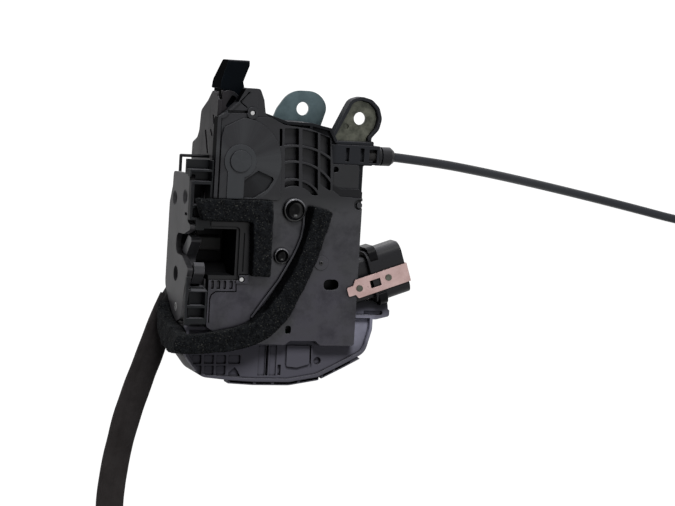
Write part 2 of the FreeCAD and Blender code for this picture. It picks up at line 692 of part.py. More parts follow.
def base_housing():
    body = tub_walls()
    tray = slab(tray_outline(2.0), 3.8, 11.0)
    tray_hollow = slab(tray_outline(0.1), 6.0, 20.0)
    holder = cable_holder()
    room = slab(cavity_outline, tub_back + tub_wall, deck_level - deck_wall)
    deep_room = slab([(housing_left + tub_wall, -43.0, 2), (housing_left + tub_wall, 55.2, 2),
                      (47.8, 55.2, 3),
                      (47.8, -55.6, 8), (24.0, -55.6, 4), (17.5, -47.0, 3)], rest_plane + tub_wall,
                      tub_back + 4.0)
    opening = slab(opening_outline, deck_level - deck_wall - 1.0, 30.0)
    hole = side_slab(pocket_profile(pocket_wall + fit_gap, 40.0), 0.0, pocket_end + pocket_wall + fit_gap)
    tower_room = box(tower_left + tub_wall, 37.0, 66.0, 100.0, -40.0, 30.0)
    body = body.cut([room, deep_room, opening, hole, tower_room])
    body = body.fuse([tray, holder, tower_saddle()])
    cuts = [tray_hollow, post(ear_two, 5.6, 0.0, 8.0)]
    seats, holes = drive_seats()
    body = body.fuse(seats)
    cuts.extend(holes)
    cuts.append(Part.makeCylinder(2.6, 40.0, V(80.0, cable_line, cable_height), V(1, 0, 0)))
    cuts.append(Part.makeCylinder(4.4, 10.0, V(106.0, cable_line, cable_height), V(1, 0, 0)))
    lifter_slot = box(housing_left - 1.0, housing_left + tub_wall + 1.0, -43.2, -21.0, -18.0, 11.0)
    cuts.append(lifter_slot)
    # Pockets with thin ribs along the lower edge
    for start, end in ((7.0, 12.6), (14.2, 20.2), (21.6, 27.6), (29.0, 36.4)):
        cuts.append(slab(rounded_box(start, end, -68.4, -63.2, 0.6), deck_level - 1.6, 30.0))
    for start, end in ((9.4, 13.0), (14.6, 20.4), (21.8, 27.6)):
        cuts.append(slab(rounded_box(start, end, -75.0, -69.4, 0.6), deck_level - 1.6, 30.0))
    cuts.append(slab([(29.4, -75.6), (29.4, -73.4), (33.0, -70.2), (35.4, -73.0), (36.6, -75.6)],
                     deck_level - 1.9, 30.0))
    for start, end in ((47.2, 51.6), (54.2, 58.4)):
        cuts.append(box(start, end, -75.2, -57.4, deck_level - 0.8, 30.0))
    cuts.append(box(51.9, 53.4, -75.2, -57.4, deck_level - 3.0, 30.0))
    cuts.append(box(59.4, 61.4, -75.0, -68.8, deck_level - 1.9, 30.0))
    cuts.append(post((83.9, -66.4), 2.3, deck_level - 1.9, 30.0))
    # Wall opening behind the connector
    window = box(-60.0, 0.0, -12.6, 12.6, 4.4, 19.0)
    window.rotate(V(0, 0, 0), V(0, 0, 1), connector_angle)
    window.translate(V(connector_mouth[0], connector_mouth[1], 0))
    window = window.common(box(100.0, 107.0, -60.0, 40.0, 0.0, 40.0))
    cuts.append(window)
    # Bores of the outside lever's pin
    cuts.append(rod_x(outside_pivot, outside_pin_radius, tower_left + 1.0, tower_bore_end))
    body = body.cut(cuts)
    raised = slab([(64.2, -57.2, 0.5), (64.4, -69.6, 1), (71.1, -70.3, 4), (78.6, -68.2, 1), (78.4, -57.2,
                                                                                              0.5)],
                  deck_level - 0.5, deck_level + 1.2)
    border = strip([(79.6, -57.4), (80.0, -67.6)], 0.8, deck_level - 0.5, deck_level + 1.6)
    shelf = slab([(104.6, -37.0), (104.6, -30.0), (126.6, -30.0), (127.4, -35.2, 1), (128.4, -35.8, 0.8),
                  (128.4, -39.4, 1.5), (120.0, -41.4, 2), (112.0, -41.4)], 7.0, 14.5)
    shelf = shelf.cut([slab([(112.0, -38.8, 0.8), (124.0, -38.8, 0.8), (124.0, -36.2, 0.8), (112.0, -36.2,
                                                                                             0.8)],
                            12.6, 30.0), shroud_block(fit_gap), collar_block(fit_gap)])
    body = body.fuse([raised, border, shelf, lower_lip()])
    body = body.cut([slab(cover_outline, deck_level, 40.0)] + side_slits())
    return body.removeSplitter()


def rib_grid():
    lean = 0.061
    columns = [
        [(53.4, 70.2), (62.2, 70.6), (62.2 + lean * 38, 32.0), (53.4 + lean * 38, 32.0)],
        [(64.2, 70.3), (74.0, 68.6), (74.0 + lean * 36, 32.0), (64.2 + lean * 38, 32.0)],
        [(75.4, 68.3), (82.0, 66.0), (82.0 + lean * 32, 34.6), (75.4 + lean * 30, 38.8)]]
    pockets = []
    for column, corners in enumerate(columns):
        shaft = slab([corner + (0.6,) for corner in corners], grid_floor, 40.0)
        for row in range(len(grid_rows) - 1):
            inner = grid_rows[row] + grid_rib / 2
            outer = grid_rows[row + 1] - grid_rib / 2
            ring = post(wheel_place, outer, grid_floor, 40.0).cut(post(wheel_place, inner,
                                                                       grid_floor - 1.0, 41.0))
            pocket = shaft.common(ring)
            if pocket.Solids:
                pockets.extend(pocket.Solids)
    pockets.append(slab([(51.0, 59.8, 0.5), (52.6, 59.8, 0.5), (52.2, 70.0, 0.5), (50.4, 70.0, 0.5)],
                        grid_floor - 0.4, 40.0))
    return pockets


def cover_forms():
    over = cover_face - 0.5
    disc = post(lock_pivot, 24.8, over, cover_face + 1.0).fuse(
        slab([(27.0, 28.6), (52.9, 28.6, 2), (52.4, 50.0), (27.0, 50.0)], over, cover_face + 1.0))
    disc = disc.common(slab([(15.7, 28.6), (15.7, 64.0, 3), (17.0, 69.4, 1), (29.2, 75.6), (60.0, 75.6),
                             (60.0, 28.6)],
                            0.0, 40.0))
    keyhole = post(lock_pivot, 9.6, over, cover_face + 1.6).fuse(
        slab([(20.2, 28.7), (30.2, 28.7), (30.2, 45.0), (20.2, 45.0)], over, cover_face + 1.6))
    forms = [disc, keyhole, post(lock_pivot, 6.2, over, cover_face + 2.6)]
    for place, radius, height, lip in domes:
        forms.append(post(place, radius, over, cover_face + height - lip))
        forms.append(post(place, radius - lip, over, cover_face + height))
        forms.append(Part.makeTorus(radius - lip, lip, V(place[0], place[1], cover_face + height - lip)))
    forms.append(post((80.5, -7.4), 4.2, over, cover_face + 0.5))
    forms.append(post((80.5, -7.4), 1.1, over, cover_face + 1.0))
    forms.append(post(peg_places[0], 3.4, over, cover_face + 1.0))
    forms.append(slab(rounded_box(28.7, 36.3, -20.3, -15.5, 0.5), over, cover_face + 1.0))
    rib = edge_band(cover_outline, 0.0, -2.1, over, cover_face + 1.2)
    forms.append(rib.common(slab([(11.0, 28.8), (16.0, 28.8), (16.4, 74.0), (20.4, 78.6), (32.0, 90.0),
                                  (29.4, 94.0),
                                  (20.0, 87.0), (11.0, 80.0)], 0.0, 40.0)))
    forms.append(strip([
        (67.6, 26.0), (68.0, 14.7), (66.9, 7.4), (65.2, 2.4), (62.6, -3.6), (54.4, -18.4), (44.6, -32.0),
        (39.4, -39.6)], 1.1, over, cover_face + 1.4))
    return forms


def cover_lines():
    low = cover_face - line_depth
    lines = [strip([(31.4, 90.2), (25.6, 84.4), (30.0, 81.2)], line_width, low, 40.0)]
    lines.append(strip([(15.0, 74.6), (15.2, 66.0), (15.2, 28.9)], line_width * 0.8, low, 40.0))
    lines.append(slab([(18.4, 77.6, 0.5), (18.4, 79.2, 0.5), (30.4, 79.4, 0.5), (30.4, 77.8, 0.5)],
                      low - 0.7, 40.0))
    lines.append(strip([(29.2, -20.6), (29.4, -25.2), (17.0, -25.4), (14.6, -27.2), (13.8, -29.6),
                        (13.9, -43.2)],
                       line_width, low, 40.0))
    ring = post((102.0, 27.4), 3.0, low - 0.9, 40.0).cut(post((102.6, 27.0), 1.7, 0.0, 41.0))
    lines.append(ring)
    lines.append(slab([(36.6, 76.0), (36.6, 94.0), (46.0, 94.0), (46.0, 76.0)], cover_face - 1.7, 40.0))
    for x, wide in ((15.0, 1.7), (18.6, 2.2), (22.4, 1.7), (26.2, 2.2)):
        lines.append(slab(rounded_box(x - wide / 2, x + wide / 2, -24.0, -18.8, 0.8), low - 0.5, 40.0))
    return lines


def front_cover():
    top = slab(cover_outline, cover_face - cover_wall, cover_face)
    ring = edge_band(cover_outline, 0.0, -2.0, deck_level, cover_face - cover_wall)
    grid_bed = slab([(49.6, 72.2), (62.0, 72.4), (83.4, 66.6), (84.8, 32.6), (52.2, 30.4)], 15.6,
                    cover_face - cover_wall)
    step_bed = slab([(84.6, 50.4), (84.6, 30.0), (102.0, 30.0), (102.0, 50.4)], deck_level + 0.1,
                    cover_face - cover_wall)
    beds = [grid_bed.common(slab(cover_outline, 0, 40)), step_bed.common(slab(cover_outline, 0, 40))]
    body = top.fuse([ring] + beds + cover_forms())
    cuts = rib_grid() + cover_lines()
    cuts.append(slab([(85.6, 60.0), (85.6, 38.2, 1), (90.0, 36.4, 2), (110.0, 36.3), (110.0, 60.0)],
                     cover_face - 2.6, 40.0))
    cuts.append(slab([(84.9, 60.0), (84.9, 35.6, 1), (90.4, 31.8, 2), (110.0, 30.8), (110.0, 60.0)],
                     cover_face - 1.1, 40.0))
    for place, radius, height, lip in domes:
        depth = height + bowl_floor
        opening = radius - lip
        curve = (opening ** 2 + depth ** 2) / (2 * depth)
        cuts.append(Part.makeSphere(curve, V(place[0], place[1], cover_face - bowl_floor + curve)).common(
            post(place, opening, 0.0, cover_face + height + 1.0)))
    cuts.append(slab([(30.4, 29.4), (30.2, 39.2, 1), (38.6, 45.3, 0.8), (48.9, 41.2, 1.5), (44.4, 34.2, 7),
                      (37.0, 29.4, 2)], cover_face - 0.6, 40.0))
    edge = pocket_end + pocket_wall + fit_gap
    cuts.append(slab([(0.0, pocket_lower - pocket_wall - fit_gap),
                      (edge, pocket_lower - pocket_wall - fit_gap),
                      (edge, pocket_lower + 1.0), (bezel_right + 1.2, pocket_lower + 1.0),
                      (bezel_right + fit_gap, bezel_top + fit_gap), (0.0, bezel_top + fit_gap)], 0.0, 40.0))
    for place in peg_places:
        cuts.append(post(place, peg_radius + 0.5, cover_face - 0.2, 40.0))
        cuts.append(post(place, peg_radius, 0.0, 40.0))
    cuts.append(slab([(82.9, -23.5, 3), (82.9, -17.1, 3), (92.3, -17.1, 3), (92.3, -23.5, 3)], 0.0, 40.0))
    cuts.append(slab([(60.7, -49.6, 1.5), (60.7, -44.7, 1.5), (64.3, -44.7, 1.5), (64.3, -49.6, 1.5)], 0.0,
                     40.0))
    cuts.append(post((87.4, 47.4), 1.8, 0.0, 40.0))
    return body.cut(cuts).removeSplitter()


def cover_pegs():
    pegs = []
    for place in peg_places:
        pegs.append(post(place, peg_radius, cover_face - cover_wall, cover_face + 0.6))
    return Part.makeCompound(pegs)


def gear_points(centre, teeth, module, share, first_angle, count):
    pitch = module * teeth / 2
    tip = pitch + module * tooth_tip
    root = pitch - module * tooth_root
    step = 360.0 / teeth
    points = []
    for index in range(count):
        middle = first_angle + index * step
        base_half = step * share * 0.68
        tip_half = step * share * 0.30
        points.append(around(centre, root, middle - base_half))
        points.append(around(centre, tip, middle - tip_half))
        points.append(around(centre, tip, middle + tip_half))
        points.append(around(centre, root, middle + base_half))
    return points


def mesh_angle():
    return math.degrees(math.atan2(wheel_place[1] - lock_pivot[1], wheel_place[0] - lock_pivot[0]))


def mesh_distance():
    return math.hypot(wheel_place[1] - lock_pivot[1], wheel_place[0] - lock_pivot[0])


def pinion_module():
    return 2 * mesh_distance() / (pinion_teeth + sector_teeth_full)


def worm_wheel():
    rim = slab(gear_points(wheel_place, wheel_teeth, wheel_module, tooth_share, 0.0, wheel_teeth),
               wheel_low, wheel_low + wheel_width)
    root = wheel_teeth * wheel_module / 2 - wheel_module * tooth_root
    web_low = post(wheel_place, root - 2.6, wheel_low - 1.0, wheel_low + 2.4)
    web_high = post(wheel_place, root - 2.6, wheel_low + wheel_width - 2.4, wheel_low + wheel_width + 1.0)
    hub = post(wheel_place, 5.0, wheel_low, wheel_low + wheel_width)
    rim = rim.cut([web_low, web_high]).fuse(hub)
    first = mesh_angle() + 180.0
    pinion = slab(gear_points(wheel_place, pinion_teeth, pinion_module(), tooth_share, first, pinion_teeth),
                  wheel_low + wheel_width - 2.4, lock_low + pinion_width)
    spokes = []
    for index in range(5):
        spot = around(wheel_place, 14.2, 36.0 + index * 72.0)
        spokes.append(post(spot, 3.0, wheel_low - 1.0, wheel_low + wheel_width))
    bore = post(wheel_place, axle_radius + pin_play, wheel_low - 1.0, lock_low + pinion_width + 1.0)
    return rim.cut(spokes).fuse(pinion).cut(bore).removeSplitter()


def wheel_axle():
    return post(wheel_place, axle_radius, axle_low, cover_face - 3.0)


def motor_line():
    return wheel_place[0] + wheel_teeth * wheel_module / 2 + worm_pitch_radius


def worm_height():
    return wheel_low + wheel_width / 2


def worm():
    x = motor_line()
    z = worm_height()
    start = motor_front + 5.0
    shaft = rod_y(x, z, worm_shaft_radius, motor_front - 4.0, start + worm_length + 5.0)
    body = rod_y(x, z, worm_root_radius, start, start + worm_length)
    return shaft.fuse(body).removeSplitter()


def lock_motor():
    x = motor_line()
    z = worm_height()
    can = rod_y(x, z, motor_radius, motor_front - motor_length, motor_front)
    flats = box(x - 20.0, x + 20.0, -60.0, 60.0, z - motor_flat, z + motor_flat)
    can = can.common(flats)
    nose = rod_y(x, z, 4.0, motor_front, motor_front + 2.0)
    tail = rod_y(x, z, 3.4, motor_front - motor_length - 1.6, motor_front - motor_length)
    bore = rod_y(x, z, worm_shaft_radius + pin_play, motor_front - 4.0, motor_front + 6.0)
    return can.fuse([nose, tail]).cut(bore).removeSplitter()


def lock_lever():
    module = pinion_module()
    step = 360.0 / sector_teeth_full
    first = mesh_angle() + step / 2 - step
    teeth = 6
    points = gear_points(lock_pivot, sector_teeth_full, module, tooth_share, first, teeth)
    root = module * sector_teeth_full / 2 - module * tooth_root
    points.insert(0, around(lock_pivot, root, first - step * 0.7))
    points.append(around(lock_pivot, root, first + step * (teeth - 1) + step * 0.7))
    points.append(around(lock_pivot, lock_hub * 0.9, first + step * (teeth - 1) + 20))
    points.append(around(lock_pivot, lock_hub * 0.9, first - 28))
    high = lock_low + lock_thickness
    arm = slab(points, lock_low, high)
    hub = post(lock_pivot, lock_hub, lock_low, high + 1.5)
    upper = slab([(lock_pivot[0] - 4.4, lock_pivot[1]), (lock_pivot[0] + 2.0, lock_pivot[1]),
                  (lock_pivot[0] - 3.4, lock_pivot[1] + 10.4, 1.8), (lock_pivot[0] - 8.4,
                                                                     lock_pivot[1] + 9.6, 1.8)],
                 lock_low, high)
    window = slab([around(lock_pivot, 13, first + 4) + (1.5,), around(lock_pivot, 26, first + 6) + (1.5,),
                   around(lock_pivot, 26, first + step * teeth - 8) + (1.5,),
                   around(lock_pivot, 13, first + step * teeth - 6) + (1.5,)], lock_low - 1.0, high + 1.0)
    bore = post(lock_pivot, axle_radius + pin_play, lock_low - 1.0, high + 3.0)
    return arm.fuse([hub, upper]).cut([window, bore]).removeSplitter()


def lock_axle():
    return post(lock_pivot, axle_radius, axle_low, cover_face - cover_wall)


def inside_lever():
    high = lever_low + lever_thickness
    wrist = (nipple_rest, cable_line)
    plate = slab([
        (lever_pivot[0] + 6.0, lever_pivot[1] - 3.0, 5), (lever_pivot[0] + 4.0, lever_pivot[1] + 8.0, 4),
        (50.0, 18.0, 8), (wrist[0] + tab_offset + tab_thickness, 38.0, 6),
        (wrist[0] + tab_offset + tab_thickness, wrist[1] + 2.6, 1),
        (wrist[0] + tab_offset - 3.0, wrist[1] + 2.6, 2), (wrist[0] - 2.6, 38.0, 8), (42.4, 18.0, 8),
        (46.8, -1.0, 6), (30.6, -26.0, 8), (24.6, -37.4, 1), (28.2, -41.2, 1), (38.0, -30.0, 8),
        (56.0, -9.6, 6)], lever_low, high)
    upper_tab = box(wrist[0] + tab_offset, wrist[0] + tab_offset + tab_thickness, wrist[1] - 6.0,
                    wrist[1] + 2.6,
                    lever_low, cable_height + 3.0)
    slot = box(wrist[0], wrist[0] + 8.0, wrist[1] - 2.3, wrist[1] + 6.0, cable_height - 1.1,
               cable_height + 1.1)
    upper_tab = upper_tab.cut(slot)
    lower_tab = slab([(25.0, -38.2), (26.6, -36.6), (28.8, -38.8), (27.2, -40.4)], pawl_lug[1] - 4.0, high)
    bore = post(lever_pivot, lever_pin_radius + pin_play, lever_low - 1.0, high + 1.0)
    return plate.fuse([upper_tab, lower_tab]).cut(bore).removeSplitter()


def lever_pin():
    shank = post(lever_pivot, lever_pin_radius, axle_low, cover_face - cover_wall)
    flange = post(lever_pivot, 4.0, lever_low + lever_thickness + play,
                  lever_low + lever_thickness + play + 1.4)
    return shank.fuse(flange).removeSplitter()


def outside_lever():
    side = side_slab([
        (107.9, 14.0, 1.5), (107.9, 2.6, 2.5), (96.0, -4.0, 6), (84.0, -4.6, 6), (70.0, -3.4, 6),
        (66.6, 1.4, 4),
        (66.6, 9.0, 4), (75.0, lever_front, 5)], 10.0, 40.0)
    front = slab([
        (17.6, 60.0), (17.6, 90.9), (15.9, 91.2, 0.6), (16.5, 96.0, 6), (20.0, 108.4), (32.7, 108.4),
        (32.7, 104.9, 1.2), (29.4, 95.4, 2.5),
        (30.2, 93.0, 1), (30.2, 60.0)], -30.0, 40.0)
    body = side.common(front)
    core = box(20.4, 27.4, 78.0, 93.0, -20.0, 7.5)
    bore = rod_x(outside_pivot, outside_pin_radius + pin_play, 0.0, 60.0)
    spring_room = rod_x(outside_pivot, 6.4, 25.0, 40.0)
    return body.cut([core, bore, spring_room]).removeSplitter()


def outside_pin():
    return rod_x(outside_pivot, outside_pin_radius, tower_left + 1.0, 38.6)


def lever_spring():
    middle = outside_pin_radius + 0.5 + spring_wire / 2
    rings = []
    for index in range(3):
        rings.append(Part.makeTorus(middle, spring_wire / 2,
                                    V(31.2 + index * spring_pitch, outside_pivot[0], outside_pivot[1]),
                                    V(1, 0, 0)))
    return rings[0].fuse(rings[1:])


def return_wire():
    wire = 0.9
    line = 51.5
    height = 6.0
    bend = -3.3
    first = rod_x((line, height), wire, bend, tower_left)
    second = rod_y(bend, height, wire, 42.4, line)
    corner = Part.makeSphere(wire, V(bend, line, height))
    return first.fuse([second, corner]).removeSplitter()


def to_connector(shape):
    shape.rotate(V(0, 0, 0), V(0, 0, 1), connector_angle)
    shape.translate(V(connector_mouth[0], connector_mouth[1], 0))
    return shape


def oval(shrink):
    half = shroud_length / 2 - shrink
    low = shroud_low + shrink
    high = cover_face - shrink
    radius = shroud_corner - shrink
    return [(-half, low, radius), (half, low, radius), (half, high, radius), (-half, high, radius)]


def pin_blades():
    blades = []
    for row in range(2):
        for column in range(6):
            y = -10.0 + column * 4.0
            z = 9.0 + row * 5.6
            blades.append(box(-34.0, -socket_depth + 8.0, y - 0.5, y + 0.5, z - 0.4, z + 0.4))
    return blades


def beyond_wall():
    return box(housing_right, 200.0, -100.0, 100.0, -50.0, 80.0)


def shroud_form(grow):
    outer = side_slab(oval(-grow), -22.0, 0.0)
    rear = side_slab(oval(3.4 - grow), -50.0, -20.0)
    return outer.fuse(rear)


def shroud_block(grow):
    return to_connector(shroud_form(grow))


def connector_shroud():
    inside = side_slab(oval(shroud_wall), -socket_depth, 5.0)
    body = shroud_form(0.0).cut([inside] + pin_blades())
    keys = [side_slab([(-2.2, cover_face - shroud_wall - 0.2), (2.2, cover_face - shroud_wall - 0.2),
                          (2.2, cover_face - 4.0), (-2.2, cover_face - 4.0)], -socket_depth, -2.0)]
    body = body.fuse(keys)
    body = to_connector(body).common(beyond_wall())
    return body.removeSplitter()


def collar_outline(grow):
    half = shroud_length / 2 + collar_width + grow
    low = shroud_low - collar_width - grow
    return [(-half, low, 7), (half, low, 7), (half, cover_face, 5), (-half, cover_face, 5)]


def collar_block(grow):
    return to_connector(side_slab(collar_outline(grow), collar_back - grow, collar_front + grow))


def connector_collar():
    ring = side_slab(collar_outline(0.0), collar_back, collar_front)
    ring = ring.cut(side_slab(oval(0.0), -30.0, 5.0))
    return to_connector(ring).common(beyond_wall()).removeSplitter()


def connector_pins():
    blades = []
    for blade in pin_blades():
        blades.append(to_connector(blade))
    return Part.makeCompound(blades)


def circuit_board():
    edge = motor_front - motor_length - board_gap
    board = slab([(34.0, -51.0, 2), (99.0, -51.0, 2), (99.0, edge, 1), (73.0, edge, 1), (73.0, -13.0, 1),
                  (62.0, -13.0, 1), (46.0, -28.0, 2), (34.0, -40.0, 2)], board_low,
                  board_low + board_thickness)
    return board


def board_switch():
    return slab([(54.0, -48.0, 0.6), (66.0, -48.0, 0.6), (66.0, -41.5, 0.6), (54.0, -41.5, 0.6)],
                board_low + board_thickness, board_low + board_thickness + 3.2)


def rear_bracket():
    low = tub_back - ear_thickness
    plate = slab([
        (54.0, 32.0, 5), (96.0, 32.0, 5), (97.0, 62.0, 4), (87.0, 70.0, 3), (91.0, 82.8, 8.4),
        (85.4, 91.9, 12),
        (67.2, 91.9, 14), (59.4, 80.6, 8), (55.4, 70.0, 3)], low, tub_back)
    holes = [post(ear_one, ear_one_hole, low - 1, tub_back + 1)]
    return plate.cut(holes)


def ear_plate():
    low = 6.0
    plate = slab(tray_outline(-0.3), low, low + ear_thickness)
    dimple = post((96.2, 72.6), 1.6, low + 1.2, low + 3.0)
    return plate.cut([post(ear_two, ear_two_hole, 0.0, 20.0), dimple])


def bracket_clip():
    corners = [(-39.2, -3.0, 1), (-34.8, -3.0, 1), (-33.6, -5.6, 1), (0.9, -5.6), (0.9, 5.6),
               (-33.0, 5.6, 1),
               (-35.0, 2.6, 1), (-39.2, 2.6, 1)]
    plate = slab(corners, cover_face, cover_face + clip_thickness)
    fold = box(0.0, 0.9, -5.6, 5.6, cover_face - 4.2, cover_face + clip_thickness)
    plate = plate.fuse(fold)
    window = slab([(-24.4, -2.4), (-17.6, -2.4), (-17.6, 2.2), (-24.4, 2.2)], cover_face - 1,
                  cover_face + 3)
    holes = [post(place, rivet_radius, cover_face - 1, cover_face + 3) for place in rivet_places]
    return to_clip(plate.cut([window] + holes))


def to_clip(shape):
    shape.translate(V(0, clip_offset, 0))
    return to_connector(shape)


def clip_rivets():
    rivets = []
    for place in rivet_places:
        shank = post(place, rivet_radius, cover_face, cover_face + clip_thickness)
        head = post(place, 1.9, cover_face + clip_thickness, cover_face + clip_thickness + 0.7)
        rivets.append(to_clip(shank.fuse(head).removeSplitter()))
    return Part.makeCompound(rivets)


def mouth_foam():
    corners = [(1.4, 28.4, 2), (47.6, 28.4, 2), (48.6, -16.0, 1), (36.8, -15.6), (35.8, 15.9, 1),
               (5.4, 16.1, 1)]
    return slab(corners, cover_face, cover_face + foam_height)


def curved_foam():
    corners = [
        (72.8, 26.2, 1), (84.6, 23.2, 1), (78.8, 3.0, 60), (70.4, -20.8, 60), (60.6, -41.4, 30),
        (45.6, -54.2, 26),
        (22.8, -60.4, 40), (-5.0, -61.2, 6), (-8.6, -52.0, 4), (-3.0, -50.2, 3), (20.0, -47.8, 40),
        (38.6, -42.6, 26),
        (52.0, -29.4, 30), (64.0, -8.4, 60), (69.6, 10.0, 60)]
    strip_top = slab(corners, cover_face, cover_face + foam_height)
    fold = side_slab([
        (-50.4, cover_face + foam_height, 1), (-61.0, cover_face + foam_height, 4), (-63.0, 9.0, 14),
        (-60.4, -7.0, 10),
        (-54.4, -16.0, 8), (-44.0, -19.2, 2), (-35.6, -18.4, 1), (-41.4, -11.2, 6), (-46.6, 1.6, 8),
        (-47.4, 12.0, 6),
        (-50.4, 17.0, 3)], wrap_left, wrap_right)
    return strip_top.fuse(fold).removeSplitter()


def route_wire(points):
    places = [V(*point) for point in points]
    starts = [places[0]]
    edges = []
    radii = []
    for index in range(1, len(places) - 1):
        here = places[index]
        back = places[index - 1] - here
        ahead = places[index + 1] - here
        shorter = min(back.Length, ahead.Length)
        back.normalize()
        ahead.normalize()
        turn = math.pi - back.getAngle(ahead)
        reach = 0.45 * shorter
        radius = reach / math.tan(turn / 2)
        radii.append(round(radius))
        bisector = (back + ahead).normalize()
        centre = here + bisector * (radius / math.cos(turn / 2))
        begin = here + back * reach
        finish = here + ahead * reach
        edges.append(Part.LineSegment(starts[-1], begin).toShape())
        edges.append(Part.Arc(begin, centre - bisector * radius, finish).toShape())
        starts.append(finish)
    edges.append(Part.LineSegment(starts[-1], places[-1]).toShape())
    print("arc radii", radii)
    return Part.Wire(edges)


def route_solid(points, profile):
    wire = route_wire(points)
    direction = V(*points[1]) - V(*points[0])
    turned = profile.copy()
    along = FreeCAD.Placement(V(*points[0]), FreeCAD.Rotation(V(1, 0, 0), direction))
    turned.Placement = along.multiply(turned.Placement)
    solid = wire.makePipeShell([turned], True, True)
    print("length %.1f mm, section times length %.0f, volume %.0f" % (
        wire.Length, Part.Face(profile).Area * wire.Length, solid.Volume))
    return solid


def round_run(points, neighbours):
    circle = Part.Wire(Part.Circle(V(0, 0, 0), V(1, 0, 0), conduit_radius).toShape())
    return route_solid(points, circle).cut(neighbours)


def cable_coil():
    low = rest_plane
    ring = post(coil_centre, coil_radius + conduit_radius, low, low + conduit_radius * 4)
    hole = post(coil_centre, coil_radius - conduit_radius, low - 1, low + conduit_radius * 4 + 1)
    return ring.cut(hole)


def cable_end_fitting():
    body = Part.makeCylinder(4.35, 8.2, V(106.4, cable_line, cable_height), V(1, 0, 0))
    bore = Part.makeCylinder(wire_radius + wire_play, 40.0, V(90.0, cable_line, cable_height), V(1, 0, 0))
    return body.cut(bore)


def cable_ferrule():
    start = 114.6
    body = Part.makeCylinder(5.6, 8.4, V(start, cable_line, cable_height), V(1, 0, 0))
    taper = Part.makeCone(5.6, 3.9, 2.2, V(start + 8.4, cable_line, cable_height), V(1, 0, 0))
    groove = Part.makeCylinder(7.0, 0.8, V(start + 2.0, cable_line, cable_height), V(1, 0, 0))
    groove = groove.cut(Part.makeCylinder(4.7, 2.0, V(start + 1.6, cable_line, cable_height), V(1, 0, 0)))
    bore = Part.makeCylinder(wire_radius + wire_play, 8.8, V(start - 0.1, cable_line, cable_height),
                             V(1, 0, 0))
    seat = Part.makeCylinder(3.1, 4.0, V(cable_route[0][0], cable_line, cable_height), V(1, 0, 0))
    return body.fuse(taper).cut([groove, bore, seat]).removeSplitter()


def inner_wire():
    return Part.makeCylinder(wire_radius, 62.0, V(nipple_rest + 1.5, cable_line, cable_height), V(1, 0, 0))


def wire_nipple():
    ball = Part.makeSphere(nipple_radius, V(nipple_rest, cable_line, cable_height))
    return ball.cut(inner_wire())


def tail_rod(radius, start, length):
    x = coil_centre[0] + coil_radius
    return rod_y(x, rest_plane + conduit_radius, radius, start - length, start)


def handle_sleeve():
    body = tail_rod(sleeve_radius, tail_end, 20.0)
    bore = tail_rod(wire_radius + wire_play, tail_end - 8.0, 20.0)
    waist = tail_rod(sleeve_radius + 1.0, tail_end - 11.0, 2.4).cut(tail_rod(sleeve_radius - 0.9, tail_end,
                                                                             30.0))
    return body.cut([bore, waist])


def handle_wire():
    return tail_rod(wire_radius, tail_end - 10.0, 30.0)


def handle_nipple():
    return tail_rod(nipple_radius, tail_end - 37.0, 5.6).cut(handle_wire())


def felt_lead():
    half = lead_width / 2
    rise = lead_height / 2
    edge = rise * 0.92
    profile = rounded_face([(-half, -rise, edge), (half, -rise, edge), (half, rise, edge), (-half, rise,
                                                                                            edge)])
    return route_solid(lead_route, to_side(profile.OuterWire))


def lead_gland(neighbours):
    body = slab([(-6.4, -43.0, 4), (housing_left - 3.0, -40.6, 3), (housing_left - fit_gap, -24.0, 1),
                 (3.4, -26.0, 1)],
                rest_plane + 0.4, rest_plane + lead_height + 1.6)
    return body.cut(neighbours)


def lead_connector():
    end = lead_route[-1]
    before = lead_route[-2]
    angle = math.degrees(math.atan2(end[1] - before[1], end[0] - before[0]))
    body = slab([(0, -10, 1.5), (24, -10, 1.5), (24, 10, 1.5), (0, 10, 1.5)], rest_plane, rest_plane + 10.0)
    latch = slab([(4, -3, 0.5), (20, -3, 0.5), (20, 3, 0.5), (4, 3, 0.5)], rest_plane + 9.5,
                 rest_plane + 12.4)
    socket = slab([(10, -8, 1), (30, -8, 1), (30, 8, 1), (10, 8, 1)], rest_plane + 1.8, rest_plane + 8.2)
    body = body.fuse(latch).cut(socket)
    body.rotate(V(0, 0, 0), V(0, 0, 1), angle)
    body.translate(V(end[0], end[1], 0))
    return body.removeSplitter()


